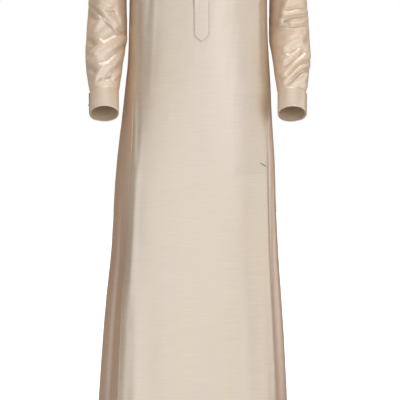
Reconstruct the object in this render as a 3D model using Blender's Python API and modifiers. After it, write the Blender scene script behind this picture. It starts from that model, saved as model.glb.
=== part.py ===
"""Ankle-length robe with long cuffed sleeves, in the hollow form that it has when worn.

Metres, +Z up, the front faces -Y and left is -X. The origin lies between the two shoulder
neck points, where the wearer's shoulders carry the robe. Each cut piece is its own solid.
"""
import math
from bisect import bisect_right
from collections import namedtuple

import bmesh
import bpy
from mathutils import Vector

# Cloth, seams and the gaps between pieces
CLOTH = 0.0015
BAND_CLOTH = 0.0022
SEAM = 0.0003
LAYER_GAP = 0.0004
WELD = 0.00001
MITRE_LIMIT = 1.2

# Main heights: hem, point of the underarm gusset, start of the bodice
HEM_Z = -1.495
GUSSET_Z = -0.413
BODICE_Z = -0.330

# Body sections are ovals, squarer down the skirt, and the robe is turned a little round its sides
SIDE_TWIST = 6.5

Section = namedtuple("Section", "z half_width front back sway square")
SECTIONS = [
    Section(HEM_Z, 0.2665, 0.186, 0.196, -0.0187, 3.00),
    Section(-1.305, 0.2550, 0.174, 0.184, -0.0171, 3.05),
    Section(-1.169, 0.2451, 0.166, 0.174, -0.0157, 3.10),
    Section(-1.032, 0.2345, 0.158, 0.163, -0.0128, 3.10),
    Section(-0.895, 0.2285, 0.151, 0.153, -0.0114, 3.10),
    Section(-0.781, 0.2225, 0.145, 0.146, -0.0080, 3.00),
    Section(-0.667, 0.2125, 0.138, 0.134, -0.0045, 2.80),
    Section(-0.560, 0.2045, 0.132, 0.123, -0.0008, 2.50),
    Section(-0.496, 0.1995, 0.129, 0.119, 0.0006, 2.35),
    Section(GUSSET_Z, 0.1960, 0.126, 0.117, 0.0, 2.30),
    Section(BODICE_Z, 0.1945, 0.124, 0.118, 0.0, 2.30),
]

# Where the side pieces meet the front and back, as degrees round the body from centre front
SideSeam = namedtuple("SideSeam", "z front back")
SIDE_SEAMS = [
    SideSeam(HEM_Z, 47.7, 120.6),
    SideSeam(-1.240, 50.4, 116.5),
    SideSeam(-1.037, 53.1, 113.1),
    SideSeam(-0.895, 53.3, 109.7),
    SideSeam(-0.752, 54.8, 105.6),
    SideSeam(-0.624, 62.5, 97.0),
    SideSeam(-0.560, 71.0, 89.2),
    SideSeam(-0.496, 76.4, 84.0),
    SideSeam(GUSSET_Z, 78.0, 82.0),
    SideSeam(-0.399, 72.5, 90.0),
    SideSeam(-0.385, 68.5, 98.0),
    SideSeam(BODICE_Z, 69.0, 99.0),
]

# Soft upright folds: degrees round the body, lift outward, height where they start and are full
Fold = namedtuple("Fold", "angle width lift start full")
FOLDS = [
    Fold(-46.0, 8.0, 0.0045, -0.80, -1.25),
    Fold(-60.0, 7.0, -0.0080, -0.72, -1.20),
    Fold(-75.0, 7.0, 0.0070, -0.75, -1.30),
    Fold(-92.0, 8.0, -0.0080, -0.80, -1.35),
    Fold(-22.0, 9.0, -0.0030, -0.95, -1.40),
    Fold(14.0, 10.0, -0.0025, -1.00, -1.40),
    Fold(38.0, 9.0, 0.0025, -0.95, -1.40),
    Fold(62.0, 7.0, -0.0060, -0.75, -1.25),
    Fold(76.0, 6.0, 0.0060, -0.70, -1.30),
    Fold(92.0, 8.0, -0.0080, -0.80, -1.35),
    Fold(110.0, 8.0, 0.0080, -0.75, -1.30),
    Fold(131.0, 8.0, -0.0090, -0.70, -1.25),
    Fold(152.0, 8.0, 0.0080, -0.75, -1.30),
    Fold(172.0, 9.0, -0.0080, -0.72, -1.30),
    Fold(195.0, 9.0, 0.0080, -0.80, -1.35),
    Fold(216.0, 8.0, -0.0090, -0.70, -1.25),
    Fold(240.0, 9.0, 0.0080, -0.78, -1.30),
]

# Upper edge of the body pieces, by degrees round the body at the bodice's start
NECK_END = 20.0
SHOULDER_END = 40.0
ARMPIT_FRONT = 69.0
ARMPIT_BACK = 99.0
BACK_SHOULDER = 138.0
BACK_NECK = 158.0
NECK_HALF_WIDTH = 0.072
NECK_DEPTH = 0.070
NECK_Y = 0.008
NECK_DROP_FRONT = 0.075
NECK_DROP_BACK = 0.014
RIDGE_RISE_NECK = 0.50
RIDGE_RISE_TIP = 0.08

# Points of that edge from the shoulder tip through the armpit, and how the cloth arrives there
Edge = namedtuple("Edge", "angle x y z run_x run_y run_z pull")
ARMHOLE = [
    Edge(SHOULDER_END, 0.2130, 0.0020, -0.0580, 0.80, 0.80, 0.10, 0.75),
    Edge(47.0, 0.1900, -0.0440, -0.0900, 0.60, 0.30, 0.60, 0.7),
    Edge(56.0, 0.1770, -0.0690, -0.1400, 0.60, 0.20, 0.70, 0.6),
    Edge(63.0, 0.1760, -0.0710, -0.1950, 0.60, 0.20, 0.75, 0.5),
    Edge(ARMPIT_FRONT, 0.1840, -0.0500, -0.2330, 0.30, 0.20, 0.95, 0.4),
    Edge(84.0, 0.1985, -0.0090, -0.2320, 0.80, 0.00, 0.60, 0.35),
    Edge(ARMPIT_BACK, 0.1890, 0.0360, -0.2330, 0.30, -0.20, 0.95, 0.4),
    Edge(106.0, 0.1780, 0.0740, -0.1950, 0.60, -0.20, 0.75, 0.5),
    Edge(114.0, 0.1790, 0.0760, -0.1400, 0.60, -0.20, 0.70, 0.6),
    Edge(126.0, 0.1910, 0.0510, -0.0900, 0.60, -0.30, 0.60, 0.7),
    Edge(BACK_SHOULDER, 0.2130, 0.0020, -0.0580, 0.80, -0.80, 0.10, 0.75),
]

# Sleeve rings from the cuff up to the upper arm: centre, half sizes and forward tilt in degrees
Ring = namedtuple("Ring", "z x y half_width half_depth tilt")
SLEEVE_END_Z = -0.592
UPPER_ARM_Z = -0.300
SLEEVE_RINGS = [
    Ring(SLEEVE_END_Z, 0.2672, -0.0745, 0.0390, 0.0340, 27.0),
    Ring(-0.580, 0.2674, -0.0695, 0.0420, 0.0375, 27.0),
    Ring(-0.555, 0.2676, -0.0600, 0.0460, 0.0430, 26.0),
    Ring(-0.530, 0.2673, -0.0500, 0.0497, 0.0475, 24.0),
    Ring(-0.485, 0.2655, -0.0320, 0.0540, 0.0535, 20.0),
    Ring(-0.440, 0.2602, -0.0155, 0.0570, 0.0590, 15.0),
    Ring(-0.400, 0.2585, -0.0050, 0.0560, 0.0630, 9.0),
    Ring(-0.345, 0.2570, 0.0010, 0.0535, 0.0660, 3.0),
    Ring(UPPER_ARM_Z, 0.2555, 0.0020, 0.0515, 0.0670, 0.0),
]
CUFF_END_Z = -0.652
CUFF_RINGS = [
    Ring(CUFF_END_Z, 0.2668, -0.1045, 0.0385, 0.0332, 39.0),
    Ring(-0.622, 0.2670, -0.0895, 0.0387, 0.0336, 33.0),
    Ring(SLEEVE_END_Z, 0.2672, -0.0745, 0.0390, 0.0340, 27.0),
]
# The right arm hangs a little closer to the body at the wrist
WRIST_Y = -0.090
WRIST_SHIFT = {-1: 0.0, 1: -0.011}

# How the sleeve leaves the armhole, by degrees round the arm: 0 outer, 90 front, 180 inner
Cap = namedtuple("Cap", "turn out forward up pull")
CAP = [
    Cap(0.0, 0.85, 0.00, -0.50, 1.0),
    Cap(60.0, 0.78, 0.00, -0.60, 1.0),
    Cap(110.0, 0.80, -0.25, -0.50, 0.8),
    Cap(180.0, 0.95, 0.00, -0.25, 0.5),
    Cap(250.0, 0.80, 0.25, -0.50, 0.8),
    Cap(300.0, 0.78, 0.00, -0.60, 1.0),
    Cap(360.0, 0.85, 0.00, -0.50, 1.0),
]

# Largest creases of each sleeve: a soft ridge or trough from one point of the arm to another
Crease = namedtuple("Crease", "turn_a z_a turn_b z_b width lift")
CREASES = {
    -1: [
        Crease(5.0, -0.345, 65.0, -0.372, 0.012, 0.0050),
        Crease(5.0, -0.375, 75.0, -0.395, 0.011, -0.0050),
        Crease(25.0, -0.425, 70.0, -0.400, 0.012, 0.0045),
        Crease(100.0, -0.425, 50.0, -0.448, 0.011, 0.0045),
        Crease(170.0, -0.440, 75.0, -0.462, 0.012, -0.0055),
        Crease(160.0, -0.455, 90.0, -0.520, 0.014, -0.0045),
        Crease(10.0, -0.495, 60.0, -0.462, 0.013, -0.0045),
        Crease(20.0, -0.560, 70.0, -0.520, 0.013, 0.0040),
        Crease(260.0, -0.400, 340.0, -0.430, 0.014, -0.0050),
        Crease(240.0, -0.350, 320.0, -0.375, 0.013, 0.0050),
        Crease(200.0, -0.470, 290.0, -0.500, 0.014, 0.0050),
        Crease(215.0, -0.535, 300.0, -0.550, 0.013, -0.0040),
    ],
    1: [
        Crease(15.0, -0.345, 120.0, -0.362, 0.011, 0.0045),
        Crease(20.0, -0.370, 120.0, -0.382, 0.010, -0.0045),
        Crease(35.0, -0.402, 110.0, -0.398, 0.011, 0.0045),
        Crease(165.0, -0.405, 95.0, -0.420, 0.011, -0.0050),
        Crease(45.0, -0.435, 125.0, -0.482, 0.012, 0.0055),
        Crease(20.0, -0.445, 115.0, -0.515, 0.012, -0.0050),
        Crease(5.0, -0.490, 130.0, -0.550, 0.013, 0.0050),
        Crease(15.0, -0.530, 80.0, -0.560, 0.012, -0.0040),
        Crease(240.0, -0.390, 330.0, -0.410, 0.014, -0.0050),
        Crease(235.0, -0.345, 310.0, -0.370, 0.013, 0.0050),
        Crease(210.0, -0.460, 300.0, -0.490, 0.014, 0.0050),
        Crease(215.0, -0.525, 310.0, -0.545, 0.013, -0.0040),
    ],
}

# Grid counts: columns of the neck, shoulder, armhole and armpit, and rows of the surfaces
NECK_COLUMNS = [9.0, 14.5]
SHOULDER_COLUMNS = 3
ARMHOLE_COLUMNS = 7
ARMPIT_COLUMNS = 6
BODICE_LEVELS = [0.13, 0.27, 0.41, 0.55, 0.68, 0.79, 0.88, 0.95, 1.0]
CAP_ROWS = 8
SLEEVE_ROWS = 15
GUSSET_TIP_ROW = 6
GORE_COLUMNS = 6
SKIRT_ROWS = [
    HEM_Z, -1.42, -1.34, -1.25, -1.16, -1.07, -0.98, -0.895, -0.82, -0.752,
    -0.688, -0.624, -0.560, -0.496, -0.452, GUSSET_Z, -0.399, -0.385, BODICE_Z,
]

# Collar, placket and cuff bands
COLLAR_HEIGHT = 0.036
COLLAR_LIFT_FRONT = 0.0012
COLLAR_LIFT_SIDE = 0.0016
COLLAR_LEAN = 0.004
COLLAR_LAP = 0.0034
COLLAR_LAP_START = 334.0
COLLAR_LAP_RUN = 12.0
BACK_NECK_COLUMNS = 4
COLLAR_UNDER_END = 14.0
COLLAR_OVER_END = -376.5
PLACKET_HALF_WIDTH = 0.0205
PLACKET_TIP_Z = -0.455
PLACKET_SHOULDER_Z = -0.437
PLACKET_TOP = 0.985
PLACKET_COLUMNS = 4
UNDERLAP_HALF_WIDTH = 0.0165
UNDERLAP_END_Z = -0.428
SLOT_ANGLE = 2.54
PLACKET_ANGLE_BASE = 4.3
PLACKET_ANGLE_TOP = 3.7
CUFF_DROP = 0.0006
CUFF_LAP = 0.0032
CUFF_STEP_DEGREES = 15.0
CUFF_PAST_SLIT = 4.0
CUFF_ROWS = 3
SLIT_COLUMN = 18
SLIT_TOP_Z = -0.500
SLIT_GAP = 0.0015
CUFF_OVERLAP = 32.0

# Pockets: bags behind the front, from the mouths in the side seams
POCKET_TOP_Z = -0.600
POCKET_MOUTH_END_Z = -0.780
POCKET_BOTTOM_Z = -0.826
POCKET_TURN = 42.0
POCKET_SETBACK = 1.2
POCKET_CLOTH = 0.0010
POCKET_LAYER_GAP = 0.0035
POCKET_ROWS = 6
POCKET_COLUMNS = 4
MOUTH_EASE = 0.0105
MOUTH_POWER = 8

# Buttons
BUTTON_RADIUS = 0.0056
BUTTON_THICKNESS = 0.0022
BUTTON_EDGE = 0.0004
PLACKET_BUTTON_ROWS = (5, 2, 0)


def read(rows, at, field):
    """Value of a table's column at a place along its first column, smooth between the rows."""
    keys = [row[0] for row in rows]
    values = [getattr(row, field) for row in rows]
    at = min(max(at, keys[0]), keys[-1])
    i = min(max(bisect_right(keys, at) - 1, 0), len(keys) - 2)
    steps = [(values[j + 1] - values[j]) / (keys[j + 1] - keys[j]) for j in range(len(keys) - 1)]

    def slope(j):
        if j == 0 or j == len(keys) - 1:
            return steps[min(j, len(steps) - 1)]
        before, after = steps[j - 1], steps[j]
        if before * after <= 0.0:
            return 0.0
        return 2.0 * before * after / (before + after)

    span = keys[i + 1] - keys[i]
    t = (at - keys[i]) / span
    return hermite(values[i], values[i + 1], slope(i) * span, slope(i + 1) * span, t)


def hermite(start, end, start_run, end_run, t):
    """Cubic from start to end with the given runs, for numbers or vectors."""
    return (
        start * (2 * t**3 - 3 * t**2 + 1)
        + end * (3 * t**2 - 2 * t**3)
        + start_run * (t**3 - 2 * t**2 + t)
        + end_run * (t**3 - t**2)
    )


def mix(a, b, t):
    return a + (b - a) * t


def smoothstep(t):
    t = min(max(t, 0.0), 1.0)
    return t * t * (3.0 - 2.0 * t)


def signed_power(value, power):
    return math.copysign(abs(value) ** power, value)


def fold_lift(turn, z):
    """Outward lift of the upright folds at degrees round the body."""
    lift = 0.0
    for fold in FOLDS:
        away = (turn - fold.angle + 180.0) % 360.0 - 180.0
        share = smoothstep((fold.start - z) / (fold.start - fold.full))
        lift += fold.lift * share * math.exp(-((away / fold.width) ** 2))
    return lift


def body_point(angle, z):
    """Point of the body surface below the bodice."""
    turn = angle + SIDE_TWIST * math.sin(math.radians(angle)) ** 2
    across, along = math.sin(math.radians(turn)), math.cos(math.radians(turn))
    half_width = read(SECTIONS, z, "half_width")
    depth = read(SECTIONS, z, "front" if along > 0.0 else "back")
    square = read(SECTIONS, z, "square")
    x = half_width * signed_power(across, 2.0 / square)
    y = -depth * signed_power(along, 2.0 / square)
    outward = Vector((
        signed_power(x / half_width, square - 1.0) / half_width,
        signed_power(y / depth, square - 1.0) / depth,
        0.0,
    )).normalized()
    return Vector((x + read(SECTIONS, z, "sway"), y, z)) + outward * fold_lift(turn, z)


def neck_point(turn):
    """Neckline point, by degrees round the neck from centre front."""
    across, along = math.sin(math.radians(turn)), math.cos(math.radians(turn))
    drop = NECK_DROP_FRONT if along > 0.0 else NECK_DROP_BACK
    return Vector((
        NECK_HALF_WIDTH * across,
        NECK_Y - NECK_DEPTH * along,
        -drop * along**2,
    ))


def top_edge(angle):
    """Upper edge of the body at an angle, with the cloth's run and pull as it arrives."""
    side = -1.0 if angle < 0.0 or angle > 180.0 else 1.0
    angle = abs((angle + 180.0) % 360.0 - 180.0)
    if angle <= NECK_END:
        point = neck_point(90.0 * angle / NECK_END)
        share = angle / NECK_END
        run = Vector((0.0, mix(0.50, 0.90, share**2), mix(0.87, RIDGE_RISE_NECK, share**2)))
        pull = 1.0
    elif angle >= BACK_NECK:
        share = (180.0 - angle) / (180.0 - BACK_NECK)
        point = neck_point(180.0 - 90.0 * share)
        run = Vector((0.0, mix(-0.60, -0.90, share**2), mix(0.80, RIDGE_RISE_NECK, share**2)))
        pull = 1.0
    elif angle < SHOULDER_END or angle > BACK_SHOULDER:
        if angle < SHOULDER_END:
            share = (angle - NECK_END) / (SHOULDER_END - NECK_END)
            forward = 1.0
        else:
            share = (BACK_NECK - angle) / (BACK_NECK - BACK_SHOULDER)
            forward = -1.0
        tip = ARMHOLE[0]
        point = neck_point(90.0).lerp(Vector((tip.x, tip.y, tip.z)), share)
        rise = mix(RIDGE_RISE_NECK, RIDGE_RISE_TIP, share)
        run = Vector((mix(0.0, tip.run_x, share**2), mix(0.90, 0.80, share) * forward, rise))
        pull = mix(1.0, tip.pull, share)
    else:
        point = Vector([read(ARMHOLE, angle, name) for name in ("x", "y", "z")])
        run = Vector([read(ARMHOLE, angle, name) for name in ("run_x", "run_y", "run_z")])
        pull = read(ARMHOLE, angle, "pull")
    point.x *= side
    run.x *= side
    return point, run.normalized(), pull


def garment_point(angle, level):
    """Body surface: levels under 0 are metres below the bodice, 0 to 1 rises to its top."""
    if level <= 0.0:
        return body_point(angle, BODICE_Z + level)
    base = body_point(angle, BODICE_Z)
    top, run, pull = top_edge(angle)
    reach = (top - base).length
    return hermite(base, top, Vector((0.0, 0.0, reach)), run * reach * pull, level)


def outward_at(surface, u, v, du, dv):
    """Unit normal of a surface function, by differences."""
    along_u = surface(u + du, v) - surface(u - du, v)
    along_v = surface(u, v + dv) - surface(u, v - dv)
    return along_u.cross(along_v).normalized()


def lifted_point(angle, level, lift):
    """Garment point moved out by a distance, or in where it is negative."""
    level_step = min(0.01, 1.0 - level) if level > 0.0 else 0.004
    normal = outward_at(garment_point, angle, level, 0.5, max(level_step, 0.002))
    return garment_point(angle, level) + normal * lift


def crease_lift(side, turn, z, radius):
    """Outward lift of the creases at a place of the sleeve."""
    lift = 0.0
    for crease in CREASES[side]:
        a = Vector((0.0, crease.z_a))
        span = (crease.turn_b - crease.turn_a + 180.0) % 360.0 - 180.0
        b = Vector((math.radians(span) * radius, crease.z_b))
        away = (turn - crease.turn_a + 180.0) % 360.0 - 180.0
        place = Vector((math.radians(away) * radius, z))
        line = b - a
        t = min(max((place - a).dot(line) / line.length_squared, 0.0), 1.0)
        gap = (place - (a + line * t)).length
        lift += crease.lift * math.exp(-((gap / crease.width) ** 2))
    return lift


def ring_point(rings, side, turn, z, lift=0.0):
    """Point of a tilted arm ring, whose centre is at height z."""
    tilt = math.radians(read(rings, z, "tilt"))
    centre_y = read(rings, z, "y")
    out = (read(rings, z, "half_width") + lift) * math.cos(math.radians(turn))
    forward = (read(rings, z, "half_depth") + lift) * math.sin(math.radians(turn))
    x = read(rings, z, "x") + WRIST_SHIFT[side] * centre_y / WRIST_Y + out
    return Vector((side * x, centre_y - forward * math.cos(tilt), z + forward * math.sin(tilt)))


def sleeve_point(side, column, row):
    """Sleeve grid: rows up to CAP_ROWS make the cap, the rest run down the arm to the cuff."""
    columns = 2 * ARMHOLE_COLUMNS + ARMPIT_COLUMNS
    turn = 360.0 * column / columns
    if row >= CAP_ROWS:
        z = mix(UPPER_ARM_Z, SLEEVE_END_Z, (row - CAP_ROWS) / SLEEVE_ROWS)
        fade = smoothstep((row - CAP_ROWS) / 2.0) * smoothstep((z - SLEEVE_END_Z) / 0.03)
        radius = read(SLEEVE_RINGS, z, "half_depth")
        return ring_point(SLEEVE_RINGS, side, turn, z, crease_lift(side, turn, z, radius) * fade)
    start, _, _ = top_edge(side * armhole_angle(column % columns))
    end = ring_point(SLEEVE_RINGS, side, turn, UPPER_ARM_Z)
    step = 0.002
    below = ring_point(SLEEVE_RINGS, side, turn, UPPER_ARM_Z - step)
    reach = (end - start).length
    leave = Vector([read(CAP, turn % 360.0, name) for name in ("out", "forward", "up")])
    leave = Vector((side * leave.x, -leave.y, leave.z)) * reach * read(CAP, turn % 360.0, "pull")
    arrive = (below - end).normalized() * reach
    return hermite(start, end, leave, arrive, row / CAP_ROWS)


def armhole_angle(column):
    """Degrees round the body of an armhole column, from the shoulder tip by the front."""
    if column <= ARMHOLE_COLUMNS:
        return mix(SHOULDER_END, ARMPIT_FRONT, column / ARMHOLE_COLUMNS)
    column -= ARMHOLE_COLUMNS
    if column <= ARMPIT_COLUMNS:
        return mix(ARMPIT_FRONT, ARMPIT_BACK, column / ARMPIT_COLUMNS)
    return mix(ARMPIT_BACK, BACK_SHOULDER, (column - ARMPIT_COLUMNS) / ARMHOLE_COLUMNS)


def spread(start, end, count):
    """Evenly spaced values after start, up to end."""
    return [mix(start, end, (i + 1) / count) for i in range(count)]


def zip_columns(left, right, aligned_at_end):
    """Faces between two columns of vertices, with a fan where one is longer."""
    if aligned_at_end:
        left, right = left[::-1], right[::-1]
    common = min(len(left), len(right))
    faces = [(left[i], right[i], right[i + 1], left[i + 1]) for i in range(common - 1)]
    for i in range(common - 1, len(left) - 1):
        faces.append((left[i], right[-1], left[i + 1]))
    for i in range(common - 1, len(right) - 1):
        faces.append((left[-1], right[i], right[i + 1]))
    return faces


def place_key(point):
    """Key of a place, the same for the pieces that meet there."""
    return tuple(round(value / WELD / 10.0) for value in point)


def inset_edge(mesh, thickness, seam_normals):
    """Pull the open edge of a surface in, so that walls meeting there stay SEAM apart."""
    moves = {}
    for edge in mesh.edges:
        if len(edge.link_faces) != 1:
            continue
        face = edge.link_faces[0]
        run = (edge.verts[1].co - edge.verts[0].co).normalized()
        inward = face.normal.cross(run)
        if inward.dot(face.calc_center_median() - edge.verts[0].co) < 0.0:
            inward.negate()
        for vert in edge.verts:
            moves.setdefault(vert, []).append(inward)
    shifts = {}
    for vert, inwards in moves.items():
        shared = seam_normals[place_key(vert.co)].normalized()
        bend = vert.normal.angle(shared, 0.0)
        distance = SEAM / 2.0 + thickness / 2.0 * min(math.tan(bend), MITRE_LIMIT)
        total = sum(inwards, Vector())
        shifts[vert] = total * distance / max(1.0 + inwards[0].dot(inwards[-1]), 0.4)
    for vert, shift in shifts.items():
        vert.co += shift


def cloth_surface(name, columns, material, thickness, keep=None, aligned_at_end=False):
    """Surface of one cut piece, from its columns of points; keep(column, row) opens slots."""
    mesh = bmesh.new()
    grid = [[mesh.verts.new(point) for point in column] for column in columns]
    for c in range(len(grid) - 1):
        for r, corners in enumerate(zip_columns(grid[c], grid[c + 1], aligned_at_end)):
            if keep is None or keep(c, r):
                mesh.faces.new(corners)
    loose = [vert for vert in mesh.verts if not vert.link_faces]
    bmesh.ops.delete(mesh, geom=loose, context="VERTS")
    bmesh.ops.remove_doubles(mesh, verts=mesh.verts, dist=WELD)
    bmesh.ops.recalc_face_normals(mesh, faces=mesh.faces)
    mesh.normal_update()
    surfaces.append((name, mesh, material, thickness))


def finish_surfaces():
    """Turn every surface into a wall, each pulled back from the pieces that it meets."""
    seam_normals = {}
    for _, mesh, _, _ in surfaces:
        for vert in mesh.verts:
            key = place_key(vert.co)
            total = seam_normals.setdefault(key, Vector())
            seam_normals[key] = total + (vert.normal if total.dot(vert.normal) >= 0.0
                                         else -vert.normal)
    for name, mesh, material, thickness in surfaces:
        inset_edge(mesh, thickness, seam_normals)
        data = bpy.data.meshes.new(name)
        mesh.to_mesh(data)
        mesh.free()
        data.materials.append(material)
        data.shade_smooth()
        made = bpy.data.objects.new(name, data)
        robe.objects.link(made)
        wall = made.modifiers.new("wall", "SOLIDIFY")
        wall.thickness = thickness
        wall.offset = 0.0


def make_material(name, colour, roughness):
    """Principled material of one piece."""
    material = bpy.data.materials.new(name)
    material.use_nodes = True
    shader = material.node_tree.nodes["Principled BSDF"]
    shader.inputs["Base Color"].default_value = (*colour, 1.0)
    shader.inputs["Roughness"].default_value = roughness
    shader.inputs["Metallic"].default_value = 0.0
    return material


CLOTH_COLOUR = (0.62, 0.50, 0.38)
BAND_COLOUR = (0.60, 0.48, 0.36)
BUTTON_COLOUR = (0.55, 0.43, 0.31)
LEVELS = [z - BODICE_Z for z in SKIRT_ROWS] + BODICE_LEVELS
SIDES = {"left": -1, "right": 1}


def half_front_angles():
    """Columns of half the front: slot, placket, neck, shoulder and armhole."""
    neck = [SLOT_ANGLE, PLACKET_ANGLE_BASE] + NECK_COLUMNS + [NECK_END]
    shoulder = spread(NECK_END, SHOULDER_END, SHOULDER_COLUMNS)
    return neck + shoulder + spread(SHOULDER_END, ARMPIT_FRONT, ARMHOLE_COLUMNS)


def half_back_angles():
    """Columns of half the back, from the armpit to centre back."""
    armhole = [ARMPIT_BACK] + spread(ARMPIT_BACK, BACK_SHOULDER, ARMHOLE_COLUMNS)
    shoulder = spread(BACK_SHOULDER, BACK_NECK, SHOULDER_COLUMNS)
    return armhole + shoulder + spread(BACK_NECK, 180.0, BACK_NECK_COLUMNS)


def seam_angle(level, field):
    """Side seam's degrees at a level; above the bodice's start it keeps its value."""
    return read(SIDE_SEAMS, BODICE_Z + min(level, 0.0), field)


def make_front():
    half = half_front_angles()
    angles = [-angle for angle in half[::-1]] + half
    columns = []
    for angle in angles:
        share = angle / ARMPIT_FRONT
        columns.append([
            garment_point(share * seam_angle(level, "front") * mouth(level, abs(share)), level)
            for level in LEVELS
        ])
    slot_column = len(half) - 1
    slot_row = SKIRT_ROWS.index(GUSSET_Z)

    def keep(column, row):
        return column != slot_column or row < slot_row

    cloth_surface("front_panel", columns, make_material("front_cloth", CLOTH_COLOUR, 0.45),
                  CLOTH, keep)


def mouth(level, share):
    """Share of a front angle that is left where the pocket mouth stands open."""
    z = BODICE_Z + level
    middle = (POCKET_TOP_Z + POCKET_MOUTH_END_Z) / 2.0
    half = (POCKET_TOP_Z - POCKET_MOUTH_END_Z) / 2.0
    ease = max(0.0, 1.0 - ((z - middle) / half) ** 2)
    return 1.0 - MOUTH_EASE * ease * share**MOUTH_POWER


def make_back():
    half = half_back_angles()
    angles = half + [360.0 - angle for angle in half[-2::-1]]
    columns = []
    for angle in angles:
        share = (180.0 - angle) / (180.0 - ARMPIT_BACK)
        columns.append([
            garment_point(180.0 - share * (180.0 - seam_angle(level, "back")), level)
            for level in LEVELS
        ])
    cloth_surface("back_panel", columns, make_material("back_cloth", CLOTH_COLOUR, 0.45), CLOTH)


def make_gore(name, side):
    levels = LEVELS[:SKIRT_ROWS.index(GUSSET_Z) + 1]
    columns = []
    for c in range(GORE_COLUMNS + 1):
        share = c / GORE_COLUMNS
        columns.append([
            garment_point(side * mix(seam_angle(level, "front"), seam_angle(level, "back"), share),
                          level)
            for level in levels
        ])
    cloth_surface("gore_" + name, columns, make_material("gore_cloth_" + name, CLOTH_COLOUR, 0.45),
                  CLOTH)


def gusset_rows(column):
    """Sleeve row where a column of the gusset ends, or where the sleeve begins outside it."""
    place = column - ARMHOLE_COLUMNS
    if not 0 <= place <= ARMPIT_COLUMNS:
        return 0
    half = ARMPIT_COLUMNS // 2
    return GUSSET_TIP_ROW * (half - abs(place - half)) // half


def make_gusset(name, side):
    levels = LEVELS[SKIRT_ROWS.index(GUSSET_Z):]
    columns = []
    for c in range(ARMPIT_COLUMNS + 1):
        share = c / ARMPIT_COLUMNS
        points = [
            garment_point(side * mix(seam_angle(level, "front"), seam_angle(level, "back"), share),
                          level)
            for level in levels
        ]
        column = ARMHOLE_COLUMNS + c
        points += [sleeve_point(side, column, row + 1) for row in range(gusset_rows(column))]
        columns.append(points)
    cloth_surface("gusset_" + name, columns,
                  make_material("gusset_cloth_" + name, CLOTH_COLOUR, 0.45), CLOTH)


def make_sleeve(name, side):
    columns_round = 2 * ARMHOLE_COLUMNS + ARMPIT_COLUMNS
    last = CAP_ROWS + SLEEVE_ROWS
    columns = []
    for c in range(columns_round + 1):
        column = (SLIT_COLUMN + c) % columns_round
        points = [sleeve_point(side, column, row) for row in range(gusset_rows(column), last + 1)]
        if c in (0, columns_round):
            toward = sleeve_point(side, column + (1 if c == 0 else -1), last) - points[-1]
            toward = toward.normalized() * SLIT_GAP / 2.0
            points = [p + toward if p.z < SLIT_TOP_Z else p for p in points]
        columns.append(points)
    cloth_surface("sleeve_" + name, columns,
                  make_material("sleeve_cloth_" + name, CLOTH_COLOUR, 0.42), CLOTH,
                  aligned_at_end=True)


def slit_turn():
    return 360.0 * SLIT_COLUMN / (2 * ARMHOLE_COLUMNS + ARMPIT_COLUMNS)


def cuff_lift(turn):
    """Outward step of the cuff's end where it laps over its start."""
    past = turn - slit_turn() - 360.0
    return CUFF_LAP * smoothstep((past + CUFF_OVERLAP) / CUFF_OVERLAP)


def make_cuff(name, side):
    start, end = slit_turn() - CUFF_PAST_SLIT, slit_turn() + 360.0 + CUFF_OVERLAP
    count = round((end - start) / CUFF_STEP_DEGREES)
    columns = []
    for c in range(count + 1):
        turn = mix(start, end, c / count)
        points = []
        for r in range(CUFF_ROWS + 1):
            z = mix(CUFF_RINGS[-1].z, CUFF_END_Z, r / CUFF_ROWS)
            point = ring_point(CUFF_RINGS, side, turn, z, cuff_lift(turn))
            points.append(point + Vector((0.0, 0.0, -CUFF_DROP)) * (1.0 - r / CUFF_ROWS))
        columns.append(points)
    cloth_surface("cuff_" + name, columns, make_material("cuff_cloth_" + name, BAND_COLOUR, 0.45),
                  BAND_CLOTH)


def collar_point(turn, height):
    """Collar band point, by degrees round the neck and height share."""
    lap = COLLAR_LAP * smoothstep((-turn - COLLAR_LAP_START) / COLLAR_LAP_RUN)
    edge = neck_point(turn)
    outward = Vector((edge.x / NECK_HALF_WIDTH, (edge.y - NECK_Y) / NECK_DEPTH, 0.0)).normalized()
    lean = lap - COLLAR_LEAN * height
    lift = mix(COLLAR_LIFT_FRONT, COLLAR_LIFT_SIDE, abs(outward.x))
    return edge + outward * lean + Vector((0.0, 0.0, lift + COLLAR_HEIGHT * height))


def make_collar():
    front = [90.0 * angle / NECK_END for angle in half_front_angles() if angle <= NECK_END]
    back = spread(90.0, 180.0, BACK_NECK_COLUMNS)
    half = [-turn for turn in front + back]
    turns = [COLLAR_UNDER_END, 0.0] + half + [-360.0 - turn for turn in half[-2::-1]]
    columns = []
    for turn in turns + [-360.0, COLLAR_OVER_END]:
        columns.append([collar_point(turn, height) for height in (0.0, 0.5, 1.0)])
    cloth_surface("collar", columns, make_material("collar_cloth", BAND_COLOUR, 0.45), BAND_CLOTH)


def strip_point(share, half_width, level, lift):
    """Point of a strip at centre front, share -1 to 1 across its half width."""
    z = BODICE_Z + min(level, 0.0)
    scale = half_width / PLACKET_HALF_WIDTH
    if level > 0.0:
        angle = share * scale * mix(PLACKET_ANGLE_BASE, PLACKET_ANGLE_TOP, level)
    else:
        wide = share * half_width / read(SECTIONS, z, "half_width")
        square = read(SECTIONS, z, "square")
        angle = math.degrees(math.asin(signed_power(wide, square / 2.0)))
    return lifted_point(angle, level, lift)


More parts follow.
